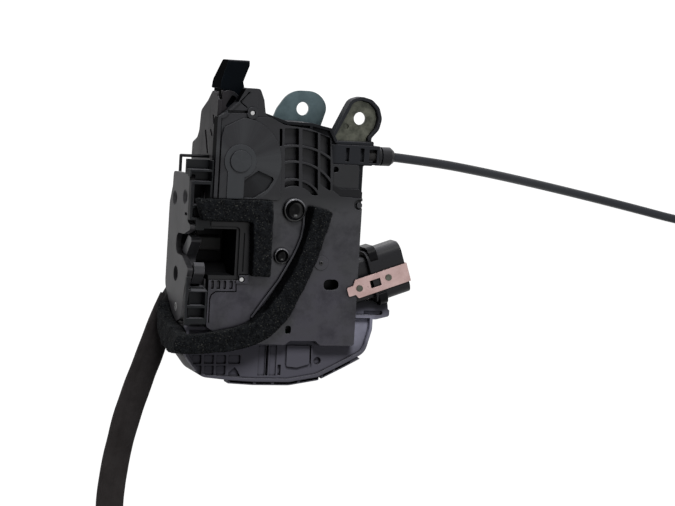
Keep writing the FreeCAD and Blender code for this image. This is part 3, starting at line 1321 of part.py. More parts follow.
os.makedirs("parts", exist_ok=True)
plate = face_plate()
frame = latch_frame()
pivots = pivot_plate()
lead = felt_lead()
coil_solid = cable_coil()
ferrule = cable_ferrule()
sleeve = handle_sleeve()
steel_claw = claw()
pieces = {
    "front_cover": front_cover(),
    "cover_pegs": cover_pegs(),
    "base_housing": base_housing(),
    "latch_frame": frame,
    "mouth_pocket": mouth_pocket(),
    "face_plate": plate,
    "pivot_plate": pivots,
    "rear_bracket": rear_bracket(),
    "ear_plate": ear_plate(),
    "striker_bumper": striker_bumper(),
    "claw": steel_claw,
    "claw_coating": claw_coating(steel_claw),
    "claw_pin": threaded_pin(),
    "claw_spring": claw_spring(),
    "pawl": pawl(),
    "pawl_lifter": pawl_lifter(),
    "pawl_pin": rod_x(pawl_pivot, pawl_pin_radius, 0.0, lifter_left() + lifter_thickness),
    "pawl_spring": pawl_spring(),
    "outside_lever": outside_lever(),
    "outside_lever_pin": outside_pin(),
    "outside_lever_spring": lever_spring(),
    "return_wire": return_wire(),
    "inside_lever": inside_lever(),
    "inside_lever_pin": lever_pin(),
    "lock_motor": lock_motor(),
    "worm": worm(),
    "worm_wheel": worm_wheel(),
    "wheel_axle": wheel_axle(),
    "lock_lever": lock_lever(),
    "lock_axle": lock_axle(),
    "circuit_board": circuit_board(),
    "lock_switch": board_switch(),
    "connector_shroud": connector_shroud(),
    "connector_collar": connector_collar(),
    "connector_pins": connector_pins(),
    "bracket_clip": bracket_clip(),
    "clip_rivets": clip_rivets(),
    "mouth_foam": mouth_foam(),
    "curved_foam": curved_foam(),
    "cable_inner_wire": inner_wire(),
    "cable_nipple": wire_nipple(),
    "cable_end_fitting": cable_end_fitting(),
    "cable_ferrule": ferrule,
    "cable_conduit": round_run(cable_route, [coil_solid, ferrule]),
    "cable_coil": coil_solid,
    "cable_tail": round_run(tail_route, [coil_solid, sleeve]),
    "handle_sleeve": sleeve,
    "handle_wire": handle_wire(),
    "handle_nipple": handle_nipple(),
    "felt_lead": lead,
    "lead_gland": lead_gland([frame, plate, pivots, lead]),
    "lead_connector": lead_connector(),
}
for name, shape in pieces.items():
    write(name, shape)
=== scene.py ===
import math

import bmesh
import bpy
from mathutils import Matrix, Vector, noise


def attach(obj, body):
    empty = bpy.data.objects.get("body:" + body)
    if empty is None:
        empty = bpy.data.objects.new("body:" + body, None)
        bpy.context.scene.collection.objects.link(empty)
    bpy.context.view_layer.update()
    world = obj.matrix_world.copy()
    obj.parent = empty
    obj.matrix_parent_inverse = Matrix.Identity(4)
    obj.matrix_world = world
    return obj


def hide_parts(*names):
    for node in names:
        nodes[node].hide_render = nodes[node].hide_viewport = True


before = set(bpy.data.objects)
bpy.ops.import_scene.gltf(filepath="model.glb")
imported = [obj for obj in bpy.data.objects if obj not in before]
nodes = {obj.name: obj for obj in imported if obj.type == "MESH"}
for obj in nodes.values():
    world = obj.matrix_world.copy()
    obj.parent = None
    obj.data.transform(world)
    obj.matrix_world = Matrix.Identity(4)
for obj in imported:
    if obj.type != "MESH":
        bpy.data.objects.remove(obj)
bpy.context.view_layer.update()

mm = 0.001
upward = Vector((0, 0, 1))

# Levels of the latch in millimetres, as in its solids
levels = {"cover": 21.5, "table": -29.5}


# Sockets that are added, subtracted and multiplied like numbers
class Wire:
    def __init__(self, maker, socket):
        self.maker = maker
        self.socket = socket

    def calculate(self, operation, first, second):
        return self.maker.node("ShaderNodeMath", {"operation": operation}, {0: first, 1: second})

    def __add__(self, other):
        return self.calculate("ADD", self, other)

    def __radd__(self, other):
        return self.calculate("ADD", other, self)

    def __sub__(self, other):
        return self.calculate("SUBTRACT", self, other)

    def __rsub__(self, other):
        return self.calculate("SUBTRACT", other, self)

    def __mul__(self, other):
        return self.calculate("MULTIPLY", self, other)

    def __rmul__(self, other):
        return self.calculate("MULTIPLY", other, self)


# One material and the nodes it is made of. Places and reaches are in millimetres
class Finish:
    def __init__(self, name):
        self.material = bpy.data.materials.new(name)
        self.material.use_nodes = True
        self.tree = self.material.node_tree
        self.tree.nodes.clear()
        self.place = self.node("ShaderNodeTexCoord", {}, {}, "Object")

    def node(self, kind, settings, sockets, output=0):
        made = self.tree.nodes.new(kind)
        for key, value in settings.items():
            setattr(made, key, value)
        for key, value in sockets.items():
            if isinstance(value, Wire):
                self.tree.links.new(value.socket, made.inputs[key])
            else:
                made.inputs[key].default_value = value
        return Wire(self, made.outputs[output] if made.outputs else None)

    def noise(self, scale, detail=2.0, rough=0.5, place=None):
        return self.node("ShaderNodeTexNoise", {}, {
            "Vector": place or self.place, "Scale": scale, "Detail": detail, "Roughness": rough})

    def ramp(self, value, low, high):
        return self.node("ShaderNodeMapRange", {"clamp": True}, {
            "Value": value, "From Min": low, "From Max": high})

    def mix(self, share, first, second):
        return self.node("ShaderNodeMix", {"data_type": "RGBA"}, {
            "Factor": share, 6: first + (1.0,) if isinstance(first, tuple) else first,
            7: second + (1.0,) if isinstance(second, tuple) else second}, 2)

    def bump(self, height, strength, reach, normal=None):
        sockets = {"Height": height, "Strength": strength, "Distance": reach * mm}
        if normal:
            sockets["Normal"] = normal
        return self.node("ShaderNodeBump", {}, sockets)

    def surface(self, sockets, dark=None):
        shader = self.node("ShaderNodeBsdfPrincipled", {}, sockets, "BSDF")
        # Painted shade: where a dark share is given, a near black diffuse shader is mixed in by it
        if dark:
            gap = self.node("ShaderNodeBsdfDiffuse", {}, {"Color": (0.0010, 0.0010, 0.0013, 1.0)})
            shader = self.node("ShaderNodeMixShader", {}, {0: dark, 1: shader, 2: gap})
        self.node("ShaderNodeOutputMaterial", {}, {"Surface": shader})
        return self.material

    def part(self, vector, axis):
        return self.node("ShaderNodeSeparateXYZ", {}, {0: vector}, axis)

    def along(self, axis, start, end):
        return self.ramp(self.part(self.place, axis), start * mm, end * mm)

    def vector(self, operation, first, second, output="Vector"):
        return self.node("ShaderNodeVectorMath", {"operation": operation}, {0: first, 1: second}, output)

    def facing(self, axis):
        return self.part(self.node("ShaderNodeNewGeometry", {}, {}, "Normal"), axis)

    def greater(self, first, second):
        return self.node("ShaderNodeMath", {"operation": "MAXIMUM"}, {0: first, 1: second})

    def within(self, point, radius, soft):
        plane = tuple(0.0 if part is None else 1.0 for part in point)
        centre = tuple(0.0 if part is None else part * mm for part in point)
        apart = self.vector("DISTANCE", self.vector("MULTIPLY", self.place, plane), centre, "Value")
        return self.ramp(apart, (radius + soft) * mm, (radius - soft) * mm)

    def between(self, axis, low, high, soft):
        return self.along(axis, low - soft, low + soft) * self.along(axis, high + soft, high - soft)

    def corner(self, radius):
        return self.node("ShaderNodeBevel", {"samples": 4}, {"Radius": radius * mm})

    # Painted shade in crevices: ambient occlusion gives the share of the dark shader in corners and recesses
    def creviceShade(self, reach, clear, full):
        light = self.node("ShaderNodeAmbientOcclusion", {"samples": 5}, {"Distance": reach * mm}, "AO")
        return self.ramp(light, clear, full)


# Moulded plastics: near black with a fine grain, a painted highlight along the edges and cloudy gloss. Faces
# toward the rear get painted shade by "shade", faces toward the top get a painted highlight by "glint"
plastics = {
    "blackPlastic": {
        "dark": (0.007, 0.008, 0.010), "light": (0.034, 0.034, 0.040), "rough": 0.40, "spread": 0.16,
        "grain": 2600.0, "depth": 0.10, "edge": 0.70, "shine": 0.45, "shade": 0.92, "glint": 0.75},
    "pocketPlastic": {
        "dark": (0.003, 0.003, 0.004), "light": (0.007, 0.007, 0.008), "rough": 0.44, "spread": 0.16,
        "grain": 2600.0, "depth": 0.10, "edge": 0.35, "shine": 0.24, "shade": 0.92, "glint": 0.10},
    "shroudPlastic": {
        "dark": (0.006, 0.006, 0.007), "light": (0.014, 0.014, 0.017), "rough": 0.38, "spread": 0.16,
        "grain": 2200.0, "depth": 0.08, "edge": 0.50, "shine": 0.20, "shade": 0.6, "glint": 0.5},
    # Lighter than the other black plastics: painted light on the housing's tower end
    "towerPlastic": {
        "dark": (0.015, 0.014, 0.016), "light": (0.040, 0.037, 0.041), "rough": 0.50, "spread": 0.16,
        "grain": 2200.0, "depth": 0.14, "edge": 0.45, "shine": 0.10, "shade": 0.0, "glint": 0.35},
    "framePlastic": {
        "dark": (0.004, 0.005, 0.006), "light": (0.009, 0.010, 0.012), "rough": 0.42, "spread": 0.16,
        "grain": 2200.0, "depth": 0.12, "edge": 0.90, "shine": 0.17, "shade": 0.5, "glint": 0.5},
    "clawPlastic": {
        "dark": (0.050, 0.050, 0.055), "light": (0.080, 0.080, 0.088), "rough": 0.34, "spread": 0.12,
        "grain": 1800.0, "depth": 0.04, "edge": 0.80, "shine": 0.22, "shade": 0.0, "glint": 0.8},
    "glossPlastic": {
        "dark": (0.001, 0.001, 0.002), "light": (0.003, 0.003, 0.004), "rough": 0.28, "spread": 0.12,
        "grain": 1800.0, "depth": 0.04, "edge": 0.60, "shine": 0.07, "shade": 0.6, "glint": 0.3},
    "leverPlastic": {
        "dark": (0.002, 0.003, 0.004), "light": (0.004, 0.006, 0.009), "rough": 0.46, "spread": 0.12,
        "grain": 2400.0, "depth": 0.10, "edge": 1.0, "shine": 0.03, "shade": 0.9, "glint": 0.5},
    "jacket": {
        "dark": (0.008, 0.010, 0.015), "light": (0.017, 0.020, 0.027), "rough": 0.32, "spread": 0.14,
        "grain": 1500.0, "depth": 0.05, "edge": 0.0, "shine": 0.3, "shade": 0.0, "glint": 0.0},
    "nylon": {
        "dark": (0.62, 0.60, 0.54), "light": (0.76, 0.74, 0.68), "rough": 0.40, "spread": 0.1,
        "grain": 1500.0, "depth": 0.05, "edge": 0.0, "shine": 0.5, "shade": 0.0, "glint": 0.0},
    "whitePeg": {
        "dark": (0.90, 0.90, 0.90), "light": (0.98, 0.98, 0.98), "rough": 0.40, "spread": 0.1,
        "grain": 1500.0, "depth": 0.05, "edge": 0.0, "shine": 0.5, "shade": 0.0, "glint": 0.0},
    "softBlack": {
        "dark": (0.008, 0.008, 0.008), "light": (0.018, 0.017, 0.017), "rough": 0.62, "spread": 0.12,
        "grain": 1500.0, "depth": 0.10, "edge": 0.2, "shine": 0.3, "shade": 0.5, "glint": 0.0},
}
# "glint" and "ring" are painted highlight colours; the occlusion reach and shares set the painted shade in
# corners
moulding = {"cloud": 55.0, "broad": 17.0, "cloudy": (0.36, 0.64), "corner": 0.40, "edge": (0.02, 0.25),
            "upFace": (0.55, 0.90), "glint": (0.24, 0.24, 0.26), "grainRough": 0.08, "grainReach": 0.12,
            "polish": (0.004, 0.004, 0.005), "polishRough": 0.13, "ring": (0.34, 0.34, 0.37),
            "rearFace": (-0.35, -0.85), "creviceShade": (1.5, 0.84, 0.42)}


def mouldedBody(make, look):
    mottle = make.noise(moulding["cloud"], 4.0, 0.6) * 0.55 + make.noise(moulding["broad"], 3.0, 0.55) * 0.45
    return mottle, make.mix(make.ramp(mottle, *moulding["cloudy"]), look["dark"], look["light"])


def mouldedSurface(make, look, mottle, body, polish=None, ring=None, dim=None):
    grain = make.noise(look["grain"], 3.0, 0.6)
    corner = make.corner(moulding["corner"])
    # Painted highlight: a lighter colour along edges, where the bevel normal parts from the flat normal
    flat = make.node("ShaderNodeNewGeometry", {}, {}, "Normal")
    alike = make.vector("DOT_PRODUCT", corner, flat, "Value")
    edge = make.ramp(1.0 - alike, *moulding["edge"])
    bodyAndHighlights = make.mix(edge * look["edge"], body, tuple(5.0 * part + 0.02 for part in look["light"]))
    # Painted highlight on faces toward the top
    if look["glint"]:
        upFace = make.ramp(make.facing("Y"), *moulding["upFace"])
        bodyAndHighlights = make.mix(upFace * look["glint"], bodyAndHighlights, moulding["glint"])
    rough = make.ramp(mottle, *moulding["cloudy"]) * look["spread"] + (look["rough"] - look["spread"] / 2)
    rough = rough + grain * moulding["grainRough"]
    if polish:
        bodyAndHighlights = make.mix(polish, bodyAndHighlights, moulding["polish"])
        rough = rough * (1.0 - polish) + moulding["polishRough"] * polish
    # Painted highlight on the domes' lips
    if ring:
        bodyAndHighlights = make.mix(ring, bodyAndHighlights, moulding["ring"])
    # Painted shade: ambient occlusion in crevices, and by "shade" on faces toward the rear
    dark = make.creviceShade(*moulding["creviceShade"])
    if look["shade"]:
        dark = make.greater(dark, make.ramp(make.facing("X"), *moulding["rearFace"]) * look["shade"])
    # The caller's dim darkens the same way: painted shade, and on the cover also its smudges
    if dim:
        dark = make.greater(dark, dim)
    return make.surface({
        "Base Color": bodyAndHighlights, "Roughness": rough, "Specular IOR Level": look["shine"],
        "Normal": make.bump(grain, look["depth"], moulding["grainReach"], corner)}, dark)


def plastic(name):
    make = Finish(name)
    mottle, body = mouldedBody(make, plastics[name])
    return mouldedSurface(make, plastics[name], mottle, body)


# Pocket: painted shade darkens its inside below the bezel
pocketLook = {"inside": (-30.0, 20.3), "soft": 0.3, "dim": 0.7}


def pocketPlastic():
    make = Finish("pocketPlastic")
    look = plastics["pocketPlastic"]
    mottle, body = mouldedBody(make, look)
    inside = make.between("Z", *pocketLook["inside"], pocketLook["soft"])
    return mouldedSurface(make, look, mottle, body, dim=inside * pocketLook["dim"])


# Cover: a painted sheen across the lock's disc, polished screw domes with painted shade in their bowls and a
# painted highlight on their lips, painted shade in the sunk sector, a violet cast low down and smudges
coverLook = {
    "disc": (27.5, 50.4, None), "discReach": 24.8, "discUpward": (26.0, 90.0), "sheen": (0.080, 0.084, 0.092),
    "raised": (22.9, 24.6), "raisedTone": (0.034, 0.038, 0.044), "step": 0.08, "strength": 0.8,
    "domes": [((61.9, 23.2, None), 6.7), ((55.6, -3.8, None), 4.5), ((80.5, -7.4, None), 1.2)],
    "bowl": 0.62, "bowlSoft": 0.12, "lip": 0.84, "lit": 0.7,
    "violet": (0.040, 0.037, 0.052), "violetShare": 0.85, "lowPart": (20.0, -30.0),
    "recess": (20.2, 21.2), "recessDim": 0.66, "upperPart": (22.0, 32.0), "upperDim": 0.38,
    "smudgeScale": 46.0, "smudgeEdge": (0.47, 0.66), "smudge": 0.38}


def coverPlastic():
    make = Finish("coverPlastic")
    look = plastics["blackPlastic"]
    mottle, body = mouldedBody(make, look)
    disc = coverLook["disc"]
    # Painted sheen: a lighter colour in radial streaks across the lock's disc
    ray = make.vector("NORMALIZE", make.vector("MULTIPLY", make.vector(
        "SUBTRACT", make.place, (disc[0] * mm, disc[1] * mm, 0.0)), (1.0, 1.0, 0.0)), (0.0, 0.0, 0.0))
    streak = make.ramp(make.noise(1.6, 1.0, 0.5, ray) + make.noise(26.0, 3.0, 0.6, ray) * 0.25, 0.52, 0.80)
    onDisc = make.within(disc, coverLook["discReach"], 0.3) * make.between("Y", *coverLook["discUpward"], 1.0)
    body = make.mix(streak * onDisc * coverLook["strength"], body, coverLook["sheen"])
    raised = make.between("Z", *coverLook["raised"], coverLook["step"])
    body = make.mix(raised * onDisc * coverLook["strength"], body, coverLook["raisedTone"])
    violet = make.along("Y", *coverLook["lowPart"]) * make.ramp(mottle, 0.38, 0.60) * coverLook["violetShare"]
    body = make.mix(violet, body, coverLook["violet"])
    # Painted shade in the sunk sector; the cover also turns darker towards the top
    sunk = make.between("Z", *coverLook["recess"], coverLook["step"])
    upper = make.along("Y", *coverLook["upperPart"])
    dim = make.greater(sunk * coverLook["recessDim"], upper * (1.0 - raised * 0.4) * coverLook["upperDim"])
    smudge = make.ramp(make.noise(coverLook["smudgeScale"], 6.0, 0.68), *coverLook["smudgeEdge"])
    dim = make.greater(dim, smudge * coverLook["smudge"])
    polish = 0.0
    ring = 0.0
    for place, reach in coverLook["domes"]:
        whole = make.within(place, reach, 0.1)
        # Painted shade in the bowl of each dome
        bowl = make.within(place, reach * coverLook["bowl"], reach * coverLook["bowlSoft"])
        dim = make.greater(dim, bowl * coverLook["strength"])
        # Painted highlight on the upper side of each dome's lip
        lit = make.along("Y", place[1], place[1] + reach * coverLook["lit"])
        lip = 1.0 - make.within(place, reach * coverLook["lip"], 0.25)
        polish = whole + polish
        ring = whole * lip * lit * coverLook["strength"] + ring
    return mouldedSurface(make, look, mottle, body, polish, ring, dim)


# Housing: grey streaks up the tower, painted light that leaves the tower end lighter than the dark body,
# a paler deck below the cover and a light trough beside it
housingLook = {
    "streakScale": 170.0, "streakEdge": (0.56, 0.64), "streak": (0.012, 0.012, 0.013), "streakShare": 0.85,
    "bodyFrom": (19.0, 24.0), "body": (0.011, 0.012, 0.014), "share": 0.8,
    "deckHeight": (12.0, 18.5), "deckDown": (-30.0, -45.0), "deck": (0.190, 0.186, 0.228),
    "holderFrom": (84.0, 88.0), "holderUp": (46.0, 50.0), "holder": (0.034, 0.036, 0.042),
    "troughFrom": (103.5, 106.5), "troughTop": (-34.0, -40.0), "troughEnd": (-64.0, -56.0),
    "trough": (0.42, 0.42, 0.53)}


def housingPlastic():
    make = Finish("housingPlastic")
    look = plastics["towerPlastic"]
    mottle, body = mouldedBody(make, look)
    drawn = make.vector("MULTIPLY", make.place, (1.0, 0.22, 1.0))
    streak = make.ramp(make.noise(housingLook["streakScale"], 3.0, 0.6, drawn), *housingLook["streakEdge"])
    body = make.mix(streak * housingLook["streakShare"], body, housingLook["streak"])
    # Painted light: the housing keeps the lighter tower tones up to X 19 mm and turns darker beyond 24 mm
    body = make.mix(make.along("X", *housingLook["bodyFrom"]), body, housingLook["body"])
    deck = make.between("Z", *housingLook["deckHeight"], 0.2) * make.along("Y", *housingLook["deckDown"])
    body = make.mix(deck * housingLook["share"], body, housingLook["deck"])
    holder = make.along("X", *housingLook["holderFrom"]) * make.along("Y", *housingLook["holderUp"])
    body = make.mix(holder * housingLook["share"], body, housingLook["holder"])
    trough = make.along("X", *housingLook["troughFrom"]) * make.along("Y", *housingLook["troughTop"])
    trough = trough * make.along("Y", *housingLook["troughEnd"])
    body = make.mix(trough * make.ramp(mottle, 0.36, 0.60), body, housingLook["trough"])
    return mouldedSurface(make, look, mottle, body)


# Metals: colour of the plating, its stains, how rough and how cloudy
metals = {
    "darkZinc": {"tone": (0.24, 0.235, 0.255), "stain": (0.15, 0.148, 0.16), "rough": 0.50, "cloud": 90.0},
    "blackWire": {"tone": (0.02, 0.02, 0.022), "stain": (0.01, 0.01, 0.011), "rough": 0.36, "cloud": 90.0},
    "blueZinc": {"tone": (0.094, 0.132, 0.143), "stain": (0.060, 0.086, 0.095), "rough": 0.44, "cloud": 90.0},
    "dullZinc": {"tone": (0.150, 0.153, 0.124), "stain": (0.040, 0.042, 0.034), "rough": 0.46, "cloud": 75.0},
    "brightSteel": {"tone": (0.36, 0.36, 0.36), "stain": (0.22, 0.22, 0.22), "rough": 0.28, "cloud": 200.0},
    "blackSteel": {"tone": (0.03, 0.03, 0.032), "stain": (0.015, 0.015, 0.016), "rough": 0.4, "cloud": 200.0},
    "copperStrip": {"tone": (0.44, 0.315, 0.302), "stain": (0.33, 0.228, 0.216), "rough": 0.36, "cloud": 140.0},
    "tinned": {"tone": (0.78, 0.74, 0.62), "stain": (0.56, 0.52, 0.42), "rough": 0.30, "cloud": 300.0},
}
# Painted shade in the metals' crevices: occlusion reach and shares
metalCreviceShade = (1.2, 0.55, 0.2)


def metal(name):
    look = metals[name]
    make = Finish(name)
    cloud = make.noise(look["cloud"], 5.0, 0.65)
    fine = make.noise(3000.0, 2.0, 0.5)
    specks = make.ramp(make.noise(420.0, 1.0, 0.4), 0.74, 0.78)
    corner = make.corner(0.3)
    tone = make.mix(make.ramp(cloud, 0.36, 0.66), look["stain"], look["tone"])
    tone = make.mix(specks * 0.7, tone, (0.01, 0.01, 0.01))
    rough = look["rough"] + 0.22 * cloud - 0.1
    # Painted shade in crevices mixes in the dark shader
    return make.surface({
        "Base Color": tone, "Roughness": rough, "Metallic": 0.92,
        "Normal": make.bump(fine, 0.05, 0.1, corner)}, make.creviceShade(*metalCreviceShade))


# Face plate: rolled sheet with upright streaks, a painted highlight on its edge faces and painted shade on the
# bush
plateLook = {"bush": (None, -18.0, -4.0), "bushReach": 4.7, "bushDim": 0.7, "slope": (-0.97, -0.90),
             "dark": (0.024, 0.0235, 0.026), "light": (0.050, 0.048, 0.053), "cut": (0.30, 0.30, 0.31),
             "cutFace": (0.3, 0.7), "lowPart": (-22.0, -32.0), "lowHighlight": 0.93, "baseHighlight": 0.07}


def platePaint():
    make = Finish("facePlate")
    drawn = make.vector("MULTIPLY", make.place, (1.0, 0.12, 1.0))
    streak = make.noise(260.0, 4.0, 0.6, drawn)
    cloud = make.noise(60.0, 3.0, 0.6)
    tone = make.mix(make.ramp(streak * 0.6 + cloud * 0.4, 0.38, 0.62), plateLook["dark"], plateLook["light"])
    # Painted highlight: faces toward the front turn lighter, most of all low down
    cut = make.ramp(make.facing("Z"), *plateLook["cutFace"])
    low = make.along("Y", *plateLook["lowPart"])
    tone = make.mix(cut * (low * plateLook["lowHighlight"] + plateLook["baseHighlight"]), tone, plateLook["cut"])
    # Painted shade on the bush's sloped faces, and in crevices
    bush = make.within(plateLook["bush"], plateLook["bushReach"], 0.2)
    sloped = make.ramp(make.facing("X"), *plateLook["slope"])
    dark = make.greater(make.creviceShade(*metalCreviceShade), bush * sloped * plateLook["bushDim"])
    corner = make.corner(0.35)
    return make.surface({
        "Base Color": tone, "Roughness": streak * 0.2 + 0.36, "Metallic": 0.10, "Specular IOR Level": 0.12,
        "Normal": make.bump(streak, 0.04, 0.2, corner)}, dark)


# Foam: open pores with pale flecks, painted shade on the walls that face the rear
foamLook = {"pores": 760.0, "dark": (0.0025, 0.003, 0.004), "light": (0.017, 0.019, 0.022),
            "fleck": (0.085, 0.085, 0.078), "fleckScale": 1100.0, "rearFace": (-0.25, -0.75),
            "rearFrom": (2.0, 6.0), "rearDim": 0.88}


def foam():
    make = Finish("openCellFoam")
    cells = make.node("ShaderNodeTexVoronoi", {"feature": "F1"}, {
        "Vector": make.place, "Scale": foamLook["pores"]})
    coarse = make.noise(420.0, 4.0, 0.7)
    cloud = make.noise(90.0, 3.0, 0.6)
    pits = make.ramp(cells, 0.05, 0.55)
    tone = make.mix(make.ramp(coarse, 0.38, 0.64), foamLook["dark"], foamLook["light"])
    spots = make.ramp(make.noise(foamLook["fleckScale"], 2.0, 0.6), 0.60, 0.70)
    fleck = make.mix(spots, tone, foamLook["fleck"])
    height = pits * 0.6 + coarse * 0.8 + cloud * 0.4
    # Painted shade on rear-facing walls above the fold, and in crevices
    rear = make.ramp(make.facing("X"), *foamLook["rearFace"]) * make.along("X", *foamLook["rearFrom"])
    dark = make.greater(make.creviceShade(2.5, 0.70, 0.3), rear * foamLook["rearDim"])
    return make.surface({
        "Base Color": fleck, "Roughness": 0.95, "Specular IOR Level": 0.08, "Sheen Weight": 0.03,
        "Sheen Roughness": 0.6, "Normal": make.bump(height, 1.0, 0.8)}, dark)


# Felt: a brown black nap with pale lint, lighter toward the lead's far end
feltLook = {"dark": (0.022, 0.019, 0.0195), "light": (0.052, 0.047, 0.048), "far": (0.080, 0.070, 0.068),
            "farFrom": (-70.0, -200.0), "lint": (0.14, 0.13, 0.125), "tint": (0.6, 0.56, 0.53, 1.0)}


def felt():
    make = Finish("feltTape")
    fibre = make.noise(2200.0, 5.0, 0.75)
    patch = make.noise(60.0, 4.0, 0.65)
    stripe = make.noise(260.0, 3.0, 0.6)
    tone = make.mix(make.ramp(patch, 0.30, 0.72), feltLook["dark"], feltLook["light"])
    tone = make.mix(make.along("Y", *feltLook["farFrom"]) * 0.6, tone, feltLook["far"])
    lint = make.mix(make.ramp(fibre, 0.60, 0.78) * 0.5, tone, feltLook["lint"])
    # Painted shade in the felt's crevices
    return make.surface({
        "Base Color": lint, "Roughness": 0.98, "Specular IOR Level": 0.2, "Sheen Weight": 0.06,
        "Sheen Roughness": 0.5, "Sheen Tint": feltLook["tint"],
        "Normal": make.bump(fibre + stripe * 0.5, 0.7, 0.35)}, make.creviceShade(2.0, 0.72, 0.3))


# Board: green lacquer over copper tracks
def board():
    make = Finish("lacqueredBoard")
    tracks = make.node("ShaderNodeTexBrick", {}, {
        "Vector": make.place, "Scale": 140.0, "Mortar Size": 0.03, "Color1": (0.02, 0.16, 0.07, 1),
        "Color2": (0.03, 0.20, 0.09, 1), "Mortar": (0.01, 0.09, 0.04, 1)})
    return make.surface({"Base Color": tracks, "Roughness": make.noise(80.0) * 0.2 + 0.2, "Coat Weight": 0.4})


# Which finish each piece wears
looks = {
    "front_cover": "cover", "base_housing": "housing", "latch_frame": "framePlastic",
    "mouth_pocket": "pocket", "cover_pegs": "whitePeg", "face_plate": "plate", "pivot_plate": "darkZinc",
    "rear_bracket": "blueZinc", "ear_plate": "dullZinc", "striker_bumper": "softBlack",
    "claw": "brightSteel", "claw_coating": "clawPlastic", "claw_pin": "blackSteel",
    "claw_spring": "brightSteel", "pawl": "brightSteel", "pawl_lifter": "glossPlastic",
    "pawl_pin": "brightSteel", "pawl_spring": "brightSteel", "outside_lever": "leverPlastic",
    "outside_lever_pin": "blackSteel", "outside_lever_spring": "brightSteel", "return_wire": "blackWire",
    "inside_lever": "blueZinc", "inside_lever_pin": "brightSteel", "lock_motor": "glossPlastic",
    "worm": "nylon", "worm_wheel": "nylon", "wheel_axle": "brightSteel", "lock_lever": "nylon",
    "lock_axle": "brightSteel", "circuit_board": "board", "lock_switch": "blackPlastic",
    "connector_shroud": "shroudPlastic", "connector_collar": "glossPlastic", "connector_pins": "tinned",
    "bracket_clip": "copperStrip", "clip_rivets": "dullZinc", "mouth_foam": "foam", "curved_foam": "foam",
    "cable_inner_wire": "brightSteel", "cable_nipple": "brightSteel", "cable_end_fitting": "softBlack",
    "cable_ferrule": "shroudPlastic", "cable_conduit": "jacket", "cable_coil": "jacket",
    "cable_tail": "jacket", "handle_sleeve": "blackPlastic", "handle_wire": "brightSteel",
    "handle_nipple": "brightSteel", "felt_lead": "felt", "lead_gland": "softBlack",
    "lead_connector": "blackPlastic",
}
finishes = {
    "pocket": pocketPlastic(), "foam": foam(), "felt": felt(), "board": board(), "cover": coverPlastic(),
    "housing": housingPlastic(), "plate": platePaint()}
for lookName in plastics:
    if lookName in looks.values():
        finishes[lookName] = plastic(lookName)
for lookName in metals:
    finishes[lookName] = metal(lookName)
for nodeName, lookName in looks.items():
    for place in nodes[nodeName].material_slots:
        place.material = finishes[lookName]
print("finishes:", len(finishes))

# The camera stands where the photograph was taken
camera = {"place": (-318.88, 111.25, 1116.27), "lens": 106.67,
          "right": (0.937, 0.059, 0.3443), "up": (-0.022, 0.9936, -0.1104)}


def addCamera():
    right = Vector(camera["right"]).normalized()
    up = Vector(camera["up"])
    up = (up - right * up.dot(right)).normalized()
    back = right.cross(up)
    turn = Matrix((right, up, back)).transposed().to_4x4()
    lens = bpy.data.cameras.new("photoCamera")
    lens.sensor_width = 36.0
    lens.lens = camera["lens"]
    lens.clip_start = 0.05
    lens.clip_end = 20.0
    holder = bpy.data.objects.new("photoCamera", lens)
    bpy.context.scene.collection.objects.link(holder)
    holder.matrix_world = Matrix.Translation(Vector(camera["place"]) * mm) @ turn
    bpy.context.scene.camera = holder


addCamera()


def splineThrough(name, points, radius, body, material):
    curve = bpy.data.curves.new(name, "CURVE")
    curve.dimensions = "3D"
    spline = curve.splines.new("NURBS")
    spline.points.add(len(points) - 1)
    for spot, point in zip(spline.points, points):
        spot.co = (point[0] * mm, point[1] * mm, point[2] * mm, 1.0)
    spline.order_u = 3
    spline.use_endpoint_u = True
    spline.resolution_u = 12
    curve.bevel_depth = radius * mm
    curve.bevel_resolution = 6
    curve.use_fill_caps = True
    piece = bpy.data.objects.new(name, curve)
    bpy.context.scene.collection.objects.link(piece)
    if material:
        curve.materials.append(material)
    if body:
        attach(piece, body)
    return piece


def centreline(points):
    bare = splineThrough("bareLine", points, 0.0, None, None)
    bare.data.use_fill_caps = False
    bpy.context.view_layer.update()
    line = bpy.data.meshes.new_from_object(bare)
    places = [vertex.co.copy() for vertex in line.vertices]
    bpy.data.objects.remove(bare)
    bpy.data.meshes.remove(line)
    return places


def lineLength(places):
    return sum((places[index + 1] - places[index]).length for index in range(len(places) - 1))


# Release cable from the latch to the handle, wound up where the view ends
cable = {"radius": 2.75, "coilCentre": (382.0, -13.0), "coilRadius": 30.4, "turns": 2.25, "perTurn": 16,
         "low": -26.75, "high": -21.25, "riseFrom": 235.0, "riseOver": 85.0}
cableRoute = [
    (123.2, 55.9, 12.0), (152.0, 53.6, 9.8), (187.8, 48.7, 1.6), (226.4, 42.6, -11.6),
    (268.9, 35.2, -22.6), (310.0, 27.4, -26.75), (346.0, 20.0, -26.75), (374.0, 17.2, -26.75)]
tailRoute = [(412.0, -13.0, -21.25), (412.0, -27.0, -21.6), (412.0, -42.0, -26.2), (412.0, -56.0, -26.75)]


def coilPoints():
    points = []
    steps = round(cable["turns"] * cable["perTurn"])
    for index in range(1, steps):
        turned = 360.0 * index / cable["perTurn"]
        share = min(max((turned - cable["riseFrom"]) / cable["riseOver"], 0.0), 1.0)
        share = share * share * (3 - 2 * share)
        height = cable["low"] + (cable["high"] - cable["low"]) * share
        angle = math.radians(90.0 - turned)
        points.append((cable["coilCentre"][0] + cable["coilRadius"] * math.cos(angle),
                       cable["coilCentre"][1] + cable["coilRadius"] * math.sin(angle), height))
    return points


